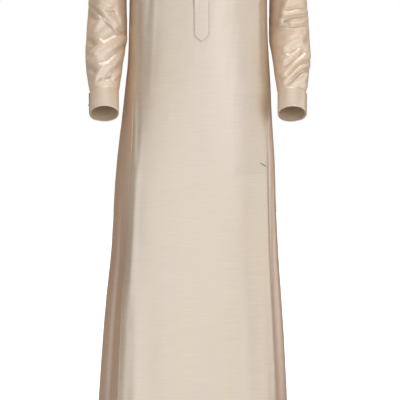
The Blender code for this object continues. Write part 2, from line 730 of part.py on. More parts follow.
def make_placket():
    over_lift = (CLOTH + BAND_CLOTH) / 2.0 + LAYER_GAP
    under_lift = -(CLOTH + CLOTH) / 2.0 - 2.0 * LAYER_GAP
    upper = [level for level in LEVELS if level >= GUSSET_Z - BODICE_Z]
    upper[-1] = PLACKET_TOP
    over, under = [], []
    for c in range(PLACKET_COLUMNS + 1):
        share = 2.0 * c / PLACKET_COLUMNS - 1.0
        point_z = mix(PLACKET_TIP_Z, PLACKET_SHOULDER_Z, abs(share))
        over.append([
            strip_point(share, PLACKET_HALF_WIDTH, level, over_lift)
            for level in [point_z - BODICE_Z] + upper
        ])
        under.append([
            strip_point(share, UNDERLAP_HALF_WIDTH, level, under_lift)
            for level in [UNDERLAP_END_Z - BODICE_Z] + upper
        ])
    cloth_surface("placket_over", over, make_material("placket_over_cloth", BAND_COLOUR, 0.45),
                  BAND_CLOTH)
    cloth_surface("placket_under", under, make_material("placket_under_cloth", BAND_COLOUR, 0.5),
                  CLOTH)


def make_pocket(name, side):
    """Pocket bag: a layer behind the front from the mouth to its fold, and a layer back."""
    near = -(CLOTH + POCKET_CLOTH) / 2.0 - 3.0 * LAYER_GAP
    far = near - POCKET_LAYER_GAP
    zs = [mix(POCKET_TOP_Z, POCKET_BOTTOM_Z, r / POCKET_ROWS) for r in range(POCKET_ROWS + 1)]
    columns = []
    for c in range(2 * POCKET_COLUMNS + 1):
        back_layer = c > POCKET_COLUMNS
        inward = (c if not back_layer else 2 * POCKET_COLUMNS - c) / POCKET_COLUMNS
        lift = mix(near, far, 0.5) if c == POCKET_COLUMNS else (far if back_layer else near)
        points = []
        for z in zs:
            level = z - BODICE_Z
            edge = seam_angle(level, "front") - POCKET_SETBACK
            angle = side * (edge - POCKET_TURN * inward)
            points.append(lifted_point(angle, level, lift))
        columns.append(points)
    cloth_surface("pocket_" + name, columns, make_material("pocket_cloth_" + name, BAND_COLOUR, 0.5),
                  POCKET_CLOTH)


def make_button(name, place, normal):
    """Round button standing on a band, facing along the normal."""
    bpy.ops.mesh.primitive_cylinder_add(vertices=16, radius=BUTTON_RADIUS,
                                        depth=BUTTON_THICKNESS)
    button = bpy.context.object
    button.name = name
    button.data.name = name
    for collection in list(button.users_collection):
        collection.objects.unlink(button)
    robe.objects.link(button)
    button.data.materials.append(make_material(name + "_face", BUTTON_COLOUR, 0.35))
    button.data.shade_smooth()
    button.location = place + normal * BUTTON_THICKNESS / 2.0
    button.rotation_euler = normal.to_track_quat("Z", "Y").to_euler()
    bevel = button.modifiers.new("rounded_edge", "BEVEL")
    bevel.width = BUTTON_EDGE
    bevel.segments = 1


def make_buttons():
    stand = BAND_CLOTH / 2.0 + 2.0 * SEAM
    strip = (CLOTH + BAND_CLOTH) / 2.0 + LAYER_GAP
    for number, row in enumerate(PLACKET_BUTTON_ROWS, start=1):
        below, above = [
            strip_point(0.0, PLACKET_HALF_WIDTH, BODICE_LEVELS[i], strip)
            for i in (row, row + 1)
        ]
        normal = Vector((1.0, 0.0, 0.0)).cross(above - below).normalized()
        make_button("button_placket_" + str(number), (below + above) / 2.0 + normal * stand, normal)
    front = collar_point(-360.0, 0.5)
    make_button("button_collar", front + Vector((0.0, -stand, 0.0)), Vector((0.0, -1.0, 0.0)))
    for name, side in SIDES.items():
        turn = slit_turn() + CUFF_OVERLAP * 0.5
        z = mix(CUFF_RINGS[-1].z, CUFF_END_Z, 0.5)

        def cuff_surface(at_turn, at_z):
            return ring_point(CUFF_RINGS, side, at_turn, at_z, cuff_lift(at_turn + 360.0))

        normal = outward_at(cuff_surface, turn, z, 4.0, 0.004)
        centre = Vector((side * read(CUFF_RINGS, z, "x"), read(CUFF_RINGS, z, "y"), z))
        place = cuff_surface(turn, z)
        if normal.dot(place - centre) < 0.0:
            normal.negate()
        make_button("button_cuff_" + name, place + normal * stand, normal)


for old in list(bpy.data.objects):
    bpy.data.objects.remove(old, do_unlink=True)
surfaces = []
robe = bpy.data.collections.new("thobe_robe")
bpy.context.scene.collection.children.link(robe)

make_front()
make_back()
for side_name, side_sign in SIDES.items():
    make_gore(side_name, side_sign)
    make_gusset(side_name, side_sign)
    make_sleeve(side_name, side_sign)
    make_cuff(side_name, side_sign)
    make_pocket(side_name, side_sign)
make_collar()
make_placket()
finish_surfaces()
make_buttons()
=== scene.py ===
import math
from collections import namedtuple

import bmesh
import bpy
import numpy as np
from mathutils import Matrix, Vector


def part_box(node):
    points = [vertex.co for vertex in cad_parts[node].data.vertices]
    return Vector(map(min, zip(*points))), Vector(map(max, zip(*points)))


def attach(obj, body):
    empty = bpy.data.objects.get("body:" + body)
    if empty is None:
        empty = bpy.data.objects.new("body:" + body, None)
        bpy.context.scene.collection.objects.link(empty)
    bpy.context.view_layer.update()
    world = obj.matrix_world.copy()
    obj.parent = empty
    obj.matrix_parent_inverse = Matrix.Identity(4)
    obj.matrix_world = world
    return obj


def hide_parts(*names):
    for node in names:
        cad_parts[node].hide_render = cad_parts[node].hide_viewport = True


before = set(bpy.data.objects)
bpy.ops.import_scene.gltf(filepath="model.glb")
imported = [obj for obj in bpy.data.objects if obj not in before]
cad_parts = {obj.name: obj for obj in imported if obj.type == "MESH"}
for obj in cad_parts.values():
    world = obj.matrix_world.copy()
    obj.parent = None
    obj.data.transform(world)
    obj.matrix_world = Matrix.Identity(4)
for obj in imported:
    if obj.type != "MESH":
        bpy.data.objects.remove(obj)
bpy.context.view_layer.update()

# The robe's surface, the same tables as the solids: metres and degrees
HEM_Z = -1.495
GUSSET_Z = -0.413
BODICE_Z = -0.330
SIDE_TWIST = 6.5
CLOTH = 0.0015
SHELL = 0.0011
BAND_CLOTH = 0.0022
LAYER_GAP = 0.0004

Section = namedtuple("Section", "z half_width front back sway square")
SECTIONS = [
    Section(HEM_Z, 0.2665, 0.186, 0.196, -0.0187, 3.00),
    Section(-1.305, 0.2550, 0.174, 0.184, -0.0171, 3.05),
    Section(-1.169, 0.2451, 0.166, 0.174, -0.0157, 3.10),
    Section(-1.032, 0.2345, 0.158, 0.163, -0.0128, 3.10),
    Section(-0.895, 0.2285, 0.151, 0.153, -0.0114, 3.10),
    Section(-0.781, 0.2225, 0.145, 0.146, -0.0080, 3.00),
    Section(-0.667, 0.2125, 0.138, 0.134, -0.0045, 2.80),
    Section(-0.560, 0.2045, 0.132, 0.123, -0.0008, 2.50),
    Section(-0.496, 0.1995, 0.129, 0.119, 0.0006, 2.35),
    Section(GUSSET_Z, 0.1960, 0.126, 0.117, 0.0, 2.30),
    Section(BODICE_Z, 0.1945, 0.124, 0.118, 0.0, 2.30),
]

SideSeam = namedtuple("SideSeam", "z front back")
SIDE_SEAMS = [
    SideSeam(HEM_Z, 47.7, 120.6),
    SideSeam(-1.240, 50.4, 116.5),
    SideSeam(-1.037, 53.1, 113.1),
    SideSeam(-0.895, 53.3, 109.7),
    SideSeam(-0.752, 54.8, 105.6),
    SideSeam(-0.624, 62.5, 97.0),
    SideSeam(-0.560, 71.0, 89.2),
    SideSeam(-0.496, 76.4, 84.0),
    SideSeam(GUSSET_Z, 78.0, 82.0),
    SideSeam(-0.399, 72.5, 90.0),
    SideSeam(-0.385, 68.5, 98.0),
    SideSeam(BODICE_Z, 69.0, 99.0),
]

# Upright folds round the body: those of the solids, then finer ones
Fold = namedtuple("Fold", "angle width lift start full")
FOLDS = [
    Fold(-46.0, 8.0, 0.0045, -0.80, -1.25),
    Fold(-60.0, 7.0, -0.0080, -0.72, -1.20),
    Fold(-75.0, 7.0, 0.0070, -0.75, -1.30),
    Fold(-92.0, 8.0, -0.0080, -0.80, -1.35),
    Fold(-22.0, 9.0, -0.0030, -0.95, -1.40),
    Fold(14.0, 10.0, -0.0025, -1.00, -1.40),
    Fold(38.0, 9.0, 0.0025, -0.95, -1.40),
    Fold(62.0, 7.0, -0.0060, -0.75, -1.25),
    Fold(76.0, 6.0, 0.0060, -0.70, -1.30),
    Fold(92.0, 8.0, -0.0080, -0.80, -1.35),
    Fold(110.0, 8.0, 0.0080, -0.75, -1.30),
    Fold(131.0, 8.0, -0.0090, -0.70, -1.25),
    Fold(152.0, 8.0, 0.0080, -0.75, -1.30),
    Fold(172.0, 9.0, -0.0080, -0.72, -1.30),
    Fold(195.0, 9.0, 0.0080, -0.80, -1.35),
    Fold(216.0, 8.0, -0.0090, -0.70, -1.25),
    Fold(240.0, 9.0, 0.0080, -0.78, -1.30),
]
FINE_FOLDS = [
    Fold(-40.0, 4.0, 0.0020, -0.60, -0.95),
    Fold(-52.0, 3.2, -0.0022, -0.62, -1.00),
    Fold(-66.0, 3.0, 0.0022, -0.70, -1.05),
    Fold(-82.0, 3.2, 0.0020, -0.75, -1.15),
    Fold(-12.0, 5.0, 0.0012, -0.90, -1.35),
    Fold(4.0, 4.5, -0.0010, -1.00, -1.40),
    Fold(25.0, 5.0, 0.0012, -0.85, -1.30),
    Fold(51.0, 3.5, 0.0016, -0.70, -1.10),
    Fold(57.0, 3.0, -0.0018, -0.60, -0.95),
    Fold(69.0, 2.8, 0.0020, -0.55, -0.90),
    Fold(84.0, 3.2, 0.0022, -0.70, -1.10),
    Fold(101.0, 4.0, -0.0022, -0.60, -1.05),
    Fold(120.0, 4.0, 0.0024, -0.62, -1.10),
    Fold(141.0, 4.0, -0.0022, -0.55, -1.00),
    Fold(163.0, 4.5, 0.0022, -0.60, -1.10),
    Fold(184.0, 4.0, -0.0020, -0.62, -1.10),
    Fold(206.0, 4.0, 0.0024, -0.55, -1.05),
    Fold(228.0, 4.0, 0.0020, -0.60, -1.10),
    Fold(252.0, 4.0, -0.0022, -0.65, -1.15),
]

# Upper edge of the body
NECK_END = 20.0
SHOULDER_END = 40.0
ARMPIT_FRONT = 69.0
ARMPIT_BACK = 99.0
BACK_SHOULDER = 138.0
BACK_NECK = 158.0
NECK_HALF_WIDTH = 0.072
NECK_DEPTH = 0.070
NECK_Y = 0.008
NECK_DROP_FRONT = 0.075
NECK_DROP_BACK = 0.014
RIDGE_RISE_NECK = 0.50
RIDGE_RISE_TIP = 0.08

Edge = namedtuple("Edge", "angle x y z run_x run_y run_z pull")
ARMHOLE = [
    Edge(SHOULDER_END, 0.2130, 0.0020, -0.0580, 0.80, 0.80, 0.10, 0.75),
    Edge(47.0, 0.1900, -0.0440, -0.0900, 0.60, 0.30, 0.60, 0.7),
    Edge(56.0, 0.1770, -0.0690, -0.1400, 0.60, 0.20, 0.70, 0.6),
    Edge(63.0, 0.1760, -0.0710, -0.1950, 0.60, 0.20, 0.75, 0.5),
    Edge(ARMPIT_FRONT, 0.1840, -0.0500, -0.2330, 0.30, 0.20, 0.95, 0.4),
    Edge(84.0, 0.1985, -0.0090, -0.2320, 0.80, 0.00, 0.60, 0.35),
    Edge(ARMPIT_BACK, 0.1890, 0.0360, -0.2330, 0.30, -0.20, 0.95, 0.4),
    Edge(106.0, 0.1780, 0.0740, -0.1950, 0.60, -0.20, 0.75, 0.5),
    Edge(114.0, 0.1790, 0.0760, -0.1400, 0.60, -0.20, 0.70, 0.6),
    Edge(126.0, 0.1910, 0.0510, -0.0900, 0.60, -0.30, 0.60, 0.7),
    Edge(BACK_SHOULDER, 0.2130, 0.0020, -0.0580, 0.80, -0.80, 0.10, 0.75),
]

Ring = namedtuple("Ring", "z x y half_width half_depth tilt")
SLEEVE_END_Z = -0.592
UPPER_ARM_Z = -0.300
SLEEVE_RINGS = [
    Ring(SLEEVE_END_Z, 0.2672, -0.0745, 0.0390, 0.0340, 27.0),
    Ring(-0.580, 0.2674, -0.0695, 0.0420, 0.0375, 27.0),
    Ring(-0.555, 0.2676, -0.0600, 0.0460, 0.0430, 26.0),
    Ring(-0.530, 0.2673, -0.0500, 0.0497, 0.0475, 24.0),
    Ring(-0.485, 0.2655, -0.0320, 0.0540, 0.0535, 20.0),
    Ring(-0.440, 0.2602, -0.0155, 0.0570, 0.0590, 15.0),
    Ring(-0.400, 0.2585, -0.0050, 0.0560, 0.0630, 9.0),
    Ring(-0.345, 0.2570, 0.0010, 0.0535, 0.0660, 3.0),
    Ring(UPPER_ARM_Z, 0.2555, 0.0020, 0.0515, 0.0670, 0.0),
]
CUFF_END_Z = -0.652
CUFF_RINGS = [
    Ring(CUFF_END_Z, 0.2668, -0.1045, 0.0385, 0.0332, 39.0),
    Ring(-0.622, 0.2670, -0.0895, 0.0387, 0.0336, 33.0),
    Ring(SLEEVE_END_Z, 0.2672, -0.0745, 0.0390, 0.0340, 27.0),
]
WRIST_Y = -0.090
WRIST_SHIFT = {-1: 0.0, 1: -0.011}

Cap = namedtuple("Cap", "turn out forward up pull")
CAP = [
    Cap(0.0, 0.85, 0.00, -0.50, 1.0),
    Cap(60.0, 0.78, 0.00, -0.60, 1.0),
    Cap(110.0, 0.80, -0.25, -0.50, 0.8),
    Cap(180.0, 0.95, 0.00, -0.25, 0.5),
    Cap(250.0, 0.80, 0.25, -0.50, 0.8),
    Cap(300.0, 0.78, 0.00, -0.60, 1.0),
    Cap(360.0, 0.85, 0.00, -0.50, 1.0),
]

# Columns and rows of the solids' grids, kept as the measure round the armhole and down the arm
ARMHOLE_COLUMNS = 7
ARMPIT_COLUMNS = 6
COLUMNS_ROUND = 2 * ARMHOLE_COLUMNS + ARMPIT_COLUMNS
CAP_ROWS = 8
SLEEVE_ROWS = 15
GUSSET_TIP_ROW = 6
SLIT_COLUMN = 18
SLIT_TOP_Z = -0.500
SLIT_GAP = 0.0015

COLLAR_HEIGHT = 0.036
COLLAR_LIFT_FRONT = 0.0012
COLLAR_LIFT_SIDE = 0.0016
COLLAR_LEAN = 0.004
COLLAR_LAP = 0.0034
COLLAR_LAP_START = 334.0
COLLAR_LAP_RUN = 12.0
COLLAR_UNDER_END = 14.0
COLLAR_OVER_END = -376.5
PLACKET_HALF_WIDTH = 0.0205
PLACKET_TIP_Z = -0.455
PLACKET_SHOULDER_Z = -0.437
PLACKET_TOP = 0.985
UNDERLAP_HALF_WIDTH = 0.0165
UNDERLAP_END_Z = -0.428
SLOT_ANGLE = 2.54
PLACKET_ANGLE_BASE = 4.3
PLACKET_ANGLE_TOP = 3.7
CUFF_LAP = 0.0032
CUFF_PAST_SLIT = 4.0
CUFF_OVERLAP = 32.0
POCKET_TOP_Z = -0.600
POCKET_MOUTH_END_Z = -0.780
POCKET_BOTTOM_Z = -0.826
POCKET_TURN = 42.0
POCKET_SETBACK = 1.2
POCKET_CLOTH = 0.0010
POCKET_LAYER_GAP = 0.0035
MOUTH_EASE = 0.0105
MOUTH_POWER = 8
BUTTON_RADIUS = 0.0056

# Creases, as points (x, z) in the front view, reach, lift and the share of lift at the last point
Stroke = namedtuple("Stroke", "points reach lift fade")
SLEEVE_FRONT = {
    -1: [
        Stroke([(-0.309, -0.336), (-0.292, -0.334), (-0.269, -0.342), (-0.255, -0.354)], .0110, .0050, .7),
        Stroke([(-0.306, -0.348), (-0.286, -0.368), (-0.263, -0.393), (-0.235, -0.419)], .0055, -.0042, .7),
        Stroke([(-0.283, -0.356), (-0.257, -0.382), (-0.232, -0.411)], .0080, .0045, .8),
        Stroke([(-0.260, -0.365), (-0.240, -0.362), (-0.226, -0.382)], .0060, -.0035, .6),
        Stroke([(-0.229, -0.371), (-0.217, -0.399)], .0070, .0040, .8),
        Stroke([(-0.246, -0.399), (-0.226, -0.416), (-0.215, -0.422)], .0060, -.0042, .8),
        Stroke([(-0.312, -0.371), (-0.294, -0.391)], .0080, -.0060, .7),
        Stroke([(-0.274, -0.388), (-0.297, -0.416), (-0.309, -0.433)], .0130, .0060, .6),
        Stroke([(-0.203, -0.428), (-0.235, -0.428), (-0.269, -0.442)], .0080, -.0072, .7),
        Stroke([(-0.209, -0.445), (-0.246, -0.470), (-0.286, -0.487)], .0150, .0065, .6),
        Stroke([(-0.309, -0.448), (-0.297, -0.465), (-0.312, -0.487)], .0090, -.0055, .8),
        Stroke([(-0.269, -0.459), (-0.294, -0.482), (-0.309, -0.507)], .0090, .0040, .8),
        Stroke([(-0.206, -0.459), (-0.243, -0.487), (-0.272, -0.513)], .0075, -.0055, .6),
        Stroke([(-0.212, -0.485), (-0.243, -0.519), (-0.274, -0.536)], .0140, .0058, .6),
        Stroke([(-0.314, -0.524), (-0.294, -0.536), (-0.303, -0.564)], .0085, -.0060, .8),
        Stroke([(-0.269, -0.519), (-0.289, -0.550), (-0.300, -0.576)], .0085, .0050, .8),
        Stroke([(-0.217, -0.513), (-0.243, -0.533), (-0.263, -0.559)], .0070, -.0045, .7),
        Stroke([(-0.229, -0.542), (-0.249, -0.562), (-0.280, -0.576)], .0085, .0045, .7),
        Stroke([(-0.257, -0.553), (-0.246, -0.564), (-0.235, -0.579)], .0050, -.0032, .8),
        Stroke([(-0.289, -0.570), (-0.272, -0.562), (-0.252, -0.576)], .0050, .0034, .8),
    ],
    1: [
        Stroke([(0.224, -0.331), (0.216, -0.388), (0.204, -0.428)], .0170, -.0070, .6),
        Stroke([(0.250, -0.331), (0.233, -0.376), (0.221, -0.402)], .0100, .0050, .6),
        Stroke([(0.241, -0.359), (0.276, -0.354), (0.313, -0.348)], .0065, -.0048, .7),
        Stroke([(0.236, -0.373), (0.270, -0.368), (0.307, -0.362)], .0070, .0046, .7),
        Stroke([(0.236, -0.388), (0.267, -0.379), (0.301, -0.376)], .0055, -.0045, .8),
        Stroke([(0.258, -0.399), (0.287, -0.393), (0.310, -0.382)], .0080, .0058, .8),
        Stroke([(0.210, -0.402), (0.244, -0.405), (0.298, -0.402)], .0090, -.0050, .7),
        Stroke([(0.296, -0.419), (0.267, -0.445), (0.236, -0.465)], .0130, .0068, .8),
        Stroke([(0.307, -0.439), (0.284, -0.462), (0.250, -0.482)], .0065, -.0052, .7),
        Stroke([(0.287, -0.456), (0.267, -0.487), (0.233, -0.502)], .0100, .0062, .7),
        Stroke([(0.290, -0.479), (0.261, -0.502), (0.236, -0.522)], .0070, -.0056, .7),
        Stroke([(0.315, -0.487), (0.281, -0.499), (0.253, -0.522), (0.230, -0.544)], .0090, .0062, .8),
        Stroke([(0.313, -0.502), (0.278, -0.513), (0.244, -0.542)], .0048, -.0050, .8),
        Stroke([(0.315, -0.510), (0.278, -0.524), (0.250, -0.547), (0.233, -0.564)], .0075, .0052, .7),
        Stroke([(0.304, -0.527), (0.273, -0.542), (0.244, -0.570)], .0060, -.0048, .7),
        Stroke([(0.298, -0.542), (0.284, -0.564), (0.261, -0.576)], .0090, .0050, .7),
        Stroke([(0.307, -0.530), (0.315, -0.559)], .0080, -.0050, .8),
        Stroke([(0.276, -0.579), (0.293, -0.573), (0.307, -0.579)], .0050, .0045, .8),
        Stroke([(0.236, -0.587), (0.256, -0.576)], .0050, -.0032, .8),
    ],
}
SLEEVE_BACK = {
    -1: [
        Stroke([(-.303, -.335), (-.262, -.352), (-.238, -.371)], .009, .0050, .6),
        Stroke([(-.306, -.357), (-.267, -.378)], .008, -.0050, .6),
        Stroke([(-.301, -.403), (-.262, -.391), (-.226, -.402)], .009, .0055, .5),
        Stroke([(-.298, -.423), (-.252, -.414)], .008, -.0050, .6),
        Stroke([(-.222, -.428), (-.262, -.446), (-.300, -.439)], .010, .0050, .5),
        Stroke([(-.226, -.451), (-.268, -.470)], .009, -.0045, .5),
        Stroke([(-.303, -.470), (-.262, -.492), (-.236, -.521)], .011, .0045, .5),
        Stroke([(-.296, -.505), (-.262, -.531)], .010, -.0040, .6),
        Stroke([(-.283, -.548), (-.252, -.563)], .008, .0030, .6),
        Stroke([(-.262, -.560), (-.264, -.582)], .0045, .0024, .8),
        Stroke([(-.280, -.560), (-.279, -.582)], .0045, .0022, .8),
    ],
    1: [
        Stroke([(.305, -.342), (.259, -.357), (.229, -.349)], .009, .0048, .6),
        Stroke([(.303, -.366), (.254, -.377)], .008, -.0050, .6),
        Stroke([(.305, -.395), (.262, -.407), (.224, -.425)], .009, .0052, .6),
        Stroke([(.298, -.419), (.246, -.434)], .008, -.0048, .6),
        Stroke([(.307, -.449), (.265, -.451), (.232, -.472)], .010, .0050, .5),
        Stroke([(.303, -.474), (.254, -.485)], .009, -.0045, .6),
        Stroke([(.301, -.507), (.258, -.515), (.230, -.540)], .010, .0045, .6),
        Stroke([(.289, -.532), (.248, -.549)], .009, -.0038, .6),
        Stroke([(.262, -.560), (.260, -.582)], .0045, .0024, .8),
        Stroke([(.279, -.559), (.280, -.582)], .0045, .0022, .8),
    ],
}
BODY_FRONT = [
    Stroke([(-.157, -.325), (-.171, -.468), (-.190, -.638), (-.193, -.838)], .028, .0046, .4),
    Stroke([(-.187, -1.500), (-.187, -1.250), (-.190, -1.000)], .018, .0064, .1),
    Stroke([(-.162, -.270), (-.166, -.420)], .008, .0018, .3),
    Stroke([(-.137, -.280), (-.150, -.430)], .009, -.0014, .3),
    Stroke([(-.126, -.330), (-.142, -.600)], .008, .0009, .3),
    Stroke([(.142, -.280), (.155, -.520)], .012, -.0014, .4),
    Stroke([(.174, -.330), (.180, -.560)], .009, -.0018, .5),
    Stroke([(.022, -.330), (.014, -.520)], .016, -.0008, .2),
    Stroke([(-.068, -.330), (-.078, -.700)], .030, -.0010, .2),
    Stroke([(.077, -.400), (.072, -.760)], .030, -.0010, .2),
    Stroke([(-.180, -.610), (-.182, -.780)], .0060, .0007, .8),
    Stroke([(-.172, -.600), (-.176, -.790)], .0070, -.0007, .8),
    Stroke([(.196, -.600), (.200, -.780)], .0060, .0006, .8),
    Stroke([(-.168, -.330), (-.130, -.200), (-.090, -.140)], .012, .0022, .3),
    Stroke([(.168, -.330), (.132, -.205), (.095, -.140)], .012, .0020, .3),
]
BODY_BACK = [
    Stroke([(-.165, -.260), (-.130, -.330), (-.115, -.450)], .015, -.0035, .3),
    Stroke([(.165, -.250), (.135, -.340), (.118, -.470)], .015, -.0035, .3),
    Stroke([(-.145, -.240), (-.105, -.320), (-.088, -.430)], .013, .0030, .3),
    Stroke([(.148, -.235), (.108, -.325), (.090, -.450)], .013, .0030, .3),
    Stroke([(-.030, -.430), (-.050, -.820)], .026, -.0030, .3),
    Stroke([(.040, -.460), (.052, -.860)], .026, -.0030, .3),
    Stroke([(.004, -.420), (-.002, -.760)], .022, .0024, .3),
    Stroke([(-.110, -.560), (-.125, -.900)], .022, .0030, .4),
    Stroke([(.115, -.560), (.128, -.900)], .022, .0030, .4),
    Stroke([(-.120, -.100), (-.060, -.150)], .016, .0016, .3),
    Stroke([(.120, -.100), (.060, -.150)], .016, .0016, .3),
]

SLEEVE_CREASE = 1.25
SIDES = {"left": -1, "right": 1}
LEVEL = np.array([1.0, 1.0, 0.0])
FORWARD = np.array([0.0, -1.0, 0.0])

# Seams, and the cloth's painted shade and painted highlight, as shares of light that are lost or left
SEAM_PRESS = 0.0005
SEAM_ALLOWANCE = 0.0035
# Painted shade grows warmer as it deepens
SHADE_WARMTH = (1.0, 1.25, 1.55)
# Painted shade in the sleeves' creases and painted highlight on their ridges
FOLD_SHADE = 30.0
FOLD_SHADE_RANGE = (0.80, 1.05)
# Painted shade over the pocket bags behind the front, stronger on the right
BAG_SHADE = {-1: 0.03, 1: 0.07}
BAG_FOLD_X = {-1: 0.090, 1: 0.082}
# Painted shadow in the open slit beside the placket's left edge
SLIT_SHADE = 0.70
SLIT_HALF_WIDTH = 0.0014
SLIT_END_Z = -0.366
# Painted shade down the front's left edge, below the pockets
STRIP_SHADE = 0.10
STRIP_X = -0.178
STRIP_TOP_Z = -0.86
# Painted shade on the side panels, growing towards the hem
GORE_SHADE = 0.20
GORE_SHADE_TOP_Z = -0.80
# Painted shade along the placket's sides and above its point
RIM_SHADE = 0.22

CLOTH_COLOUR = (0.520, 0.368, 0.220)
# A lighter copy of the cloth colour for the sleeves: painted light
SLEEVE_LIT_COLOUR = (0.700, 0.490, 0.305)
BAND_COLOUR = (0.690, 0.505, 0.335)
# A darker, warmer copy of the cloth colour for the side panels: painted shade
GORE_SHADED_COLOUR = (0.590, 0.360, 0.200)
# A greyer, mauve copy of the cloth colour for the gussets: painted shade under the arms
GUSSET_SHADED_COLOUR = (0.520, 0.370, 0.260)
THREAD_COLOURS = ((0.44, 0.335, 0.235), (0.60, 0.475, 0.350))
BAR_TACK_COLOURS = ((0.045, 0.028, 0.020), (0.110, 0.070, 0.048))
BUTTON_COLOURS = ((0.42, 0.31, 0.21), (0.66, 0.54, 0.41))


def read(rows, at, field):
    """Values of a table's column at places along its first column, smooth between the rows."""
    keys = np.array([row[0] for row in rows])
    values = np.array([getattr(row, field) for row in rows])
    at = np.clip(at, keys[0], keys[-1])
    i = np.clip(np.searchsorted(keys, at, side="right") - 1, 0, len(keys) - 2)
    steps = np.diff(values) / np.diff(keys)
    slopes = np.empty(len(keys))
    slopes[0], slopes[-1] = steps[0], steps[-1]
    product = steps[:-1] * steps[1:]
    total = np.where(product > 0.0, steps[:-1] + steps[1:], 1.0)
    slopes[1:-1] = np.where(product > 0.0, 2.0 * product / total, 0.0)
    span = keys[i + 1] - keys[i]
    t = (at - keys[i]) / span
    return hermite(values[i], values[i + 1], slopes[i] * span, slopes[i + 1] * span, t)


def hermite(start, end, start_run, end_run, t):
    return (
        start * (2 * t**3 - 3 * t**2 + 1)
        + end * (3 * t**2 - 2 * t**3)
        + start_run * (t**3 - 2 * t**2 + t)
        + end_run * (t**3 - t**2)
    )


def mix(a, b, t):
    return a + (b - a) * t


def smoothstep(t):
    t = np.clip(t, 0.0, 1.0)
    return t * t * (3.0 - 2.0 * t)


def signed_power(value, power):
    return np.copysign(np.abs(value) ** power, value)


def unit(vectors):
    length = np.linalg.norm(vectors, axis=-1, keepdims=True)
    return vectors / np.maximum(length, 1e-9)


def vec(x, y, z):
    """Points from three arrays or numbers."""
    return np.stack(np.broadcast_arrays(x, y, z), axis=-1).astype(float)


def fold_lift(folds, turn, z):
    """Outward lift of upright folds at degrees round the body."""
    lift = 0.0
    for fold in folds:
        away = (turn - fold.angle + 180.0) % 360.0 - 180.0
        share = smoothstep((fold.start - z) / (fold.start - fold.full))
        lift = lift + fold.lift * share * np.exp(-((away / fold.width) ** 2))
    return lift


def body_point(angle, z):
    turn = angle + SIDE_TWIST * np.sin(np.radians(angle)) ** 2
    across, along = np.sin(np.radians(turn)), np.cos(np.radians(turn))
    half_width = read(SECTIONS, z, "half_width")
    depth = np.where(along > 0.0, read(SECTIONS, z, "front"), read(SECTIONS, z, "back"))
    square = read(SECTIONS, z, "square")
    x = half_width * signed_power(across, 2.0 / square)
    y = -depth * signed_power(along, 2.0 / square)
    outward = unit(vec(
        signed_power(x / half_width, square - 1.0) / half_width,
        signed_power(y / depth, square - 1.0) / depth,
        0.0,
    ))
    lift = fold_lift(FOLDS, turn, z) + fold_lift(FINE_FOLDS, turn, z)
    return vec(x + read(SECTIONS, z, "sway"), y, z) + outward * lift[..., None]


def neck_point(turn):
    """Neckline points, by degrees round the neck from centre front."""
    across, along = np.sin(np.radians(turn)), np.cos(np.radians(turn))
    drop = np.where(along > 0.0, NECK_DROP_FRONT, NECK_DROP_BACK)
    return vec(NECK_HALF_WIDTH * across, NECK_Y - NECK_DEPTH * along, -drop * along**2)


def top_edge(angle):
    """Upper edge of the body at angles, with the cloth's run and pull as it arrives."""
    angle = np.asarray(angle, float)
    side = np.where((angle < 0.0) | (angle > 180.0), -1.0, 1.0)
    angle = np.abs((angle + 180.0) % 360.0 - 180.0)
    share = angle / NECK_END
    point = neck_point(90.0 * share)
    run = vec(0.0, mix(0.50, 0.90, share**2), mix(0.87, RIDGE_RISE_NECK, share**2))
    pull = np.ones_like(angle)

    share = (180.0 - angle) / (180.0 - BACK_NECK)
    here = (angle >= BACK_NECK)[..., None]
    point = np.where(here, neck_point(180.0 - 90.0 * share), point)
    run = np.where(here, vec(0.0, mix(-0.60, -0.90, share**2),
                             mix(0.80, RIDGE_RISE_NECK, share**2)), run)

    tip = ARMHOLE[0]
    neck_side = neck_point(np.array(90.0))
    for here, share, forward in (
        ((angle > NECK_END) & (angle < SHOULDER_END),
         (angle - NECK_END) / (SHOULDER_END - NECK_END), 1.0),
        ((angle > BACK_SHOULDER) & (angle < BACK_NECK),
         (BACK_NECK - angle) / (BACK_NECK - BACK_SHOULDER), -1.0),
    ):
        at = share[..., None]
        ridge = mix(neck_side, np.array([tip.x, tip.y, tip.z]), at)
        ridge_run = vec(tip.run_x * share**2, mix(0.90, 0.80, share) * forward,
                        mix(RIDGE_RISE_NECK, RIDGE_RISE_TIP, share))
        point = np.where(here[..., None], ridge, point)
        run = np.where(here[..., None], ridge_run, run)
        pull = np.where(here, mix(1.0, tip.pull, share), pull)

    here = (angle >= SHOULDER_END) & (angle <= BACK_SHOULDER)
    edge = vec(*[read(ARMHOLE, angle, name) for name in ("x", "y", "z")])
    edge_run = vec(*[read(ARMHOLE, angle, name) for name in ("run_x", "run_y", "run_z")])
    point = np.where(here[..., None], edge, point)
    run = np.where(here[..., None], edge_run, run)
    pull = np.where(here, read(ARMHOLE, angle, "pull"), pull)
    flip = np.stack([side, np.ones_like(side), np.ones_like(side)], axis=-1)
    return point * flip, unit(run * flip), pull


def garment_point(angle, level):
    """Body surface: levels under 0 are metres below the bodice, 0 to 1 rises to its top."""
    below = body_point(angle, BODICE_Z + np.minimum(level, 0.0))
    top, run, pull = top_edge(angle)
    reach = np.linalg.norm(top - below, axis=-1, keepdims=True)
    up = np.array([0.0, 0.0, 1.0]) * reach
    t = np.clip(level, 0.0, 1.0)[..., None]
    above = hermite(below, top, up, run * reach * pull[..., None], t)
    return np.where((level > 0.0)[..., None], above, below)


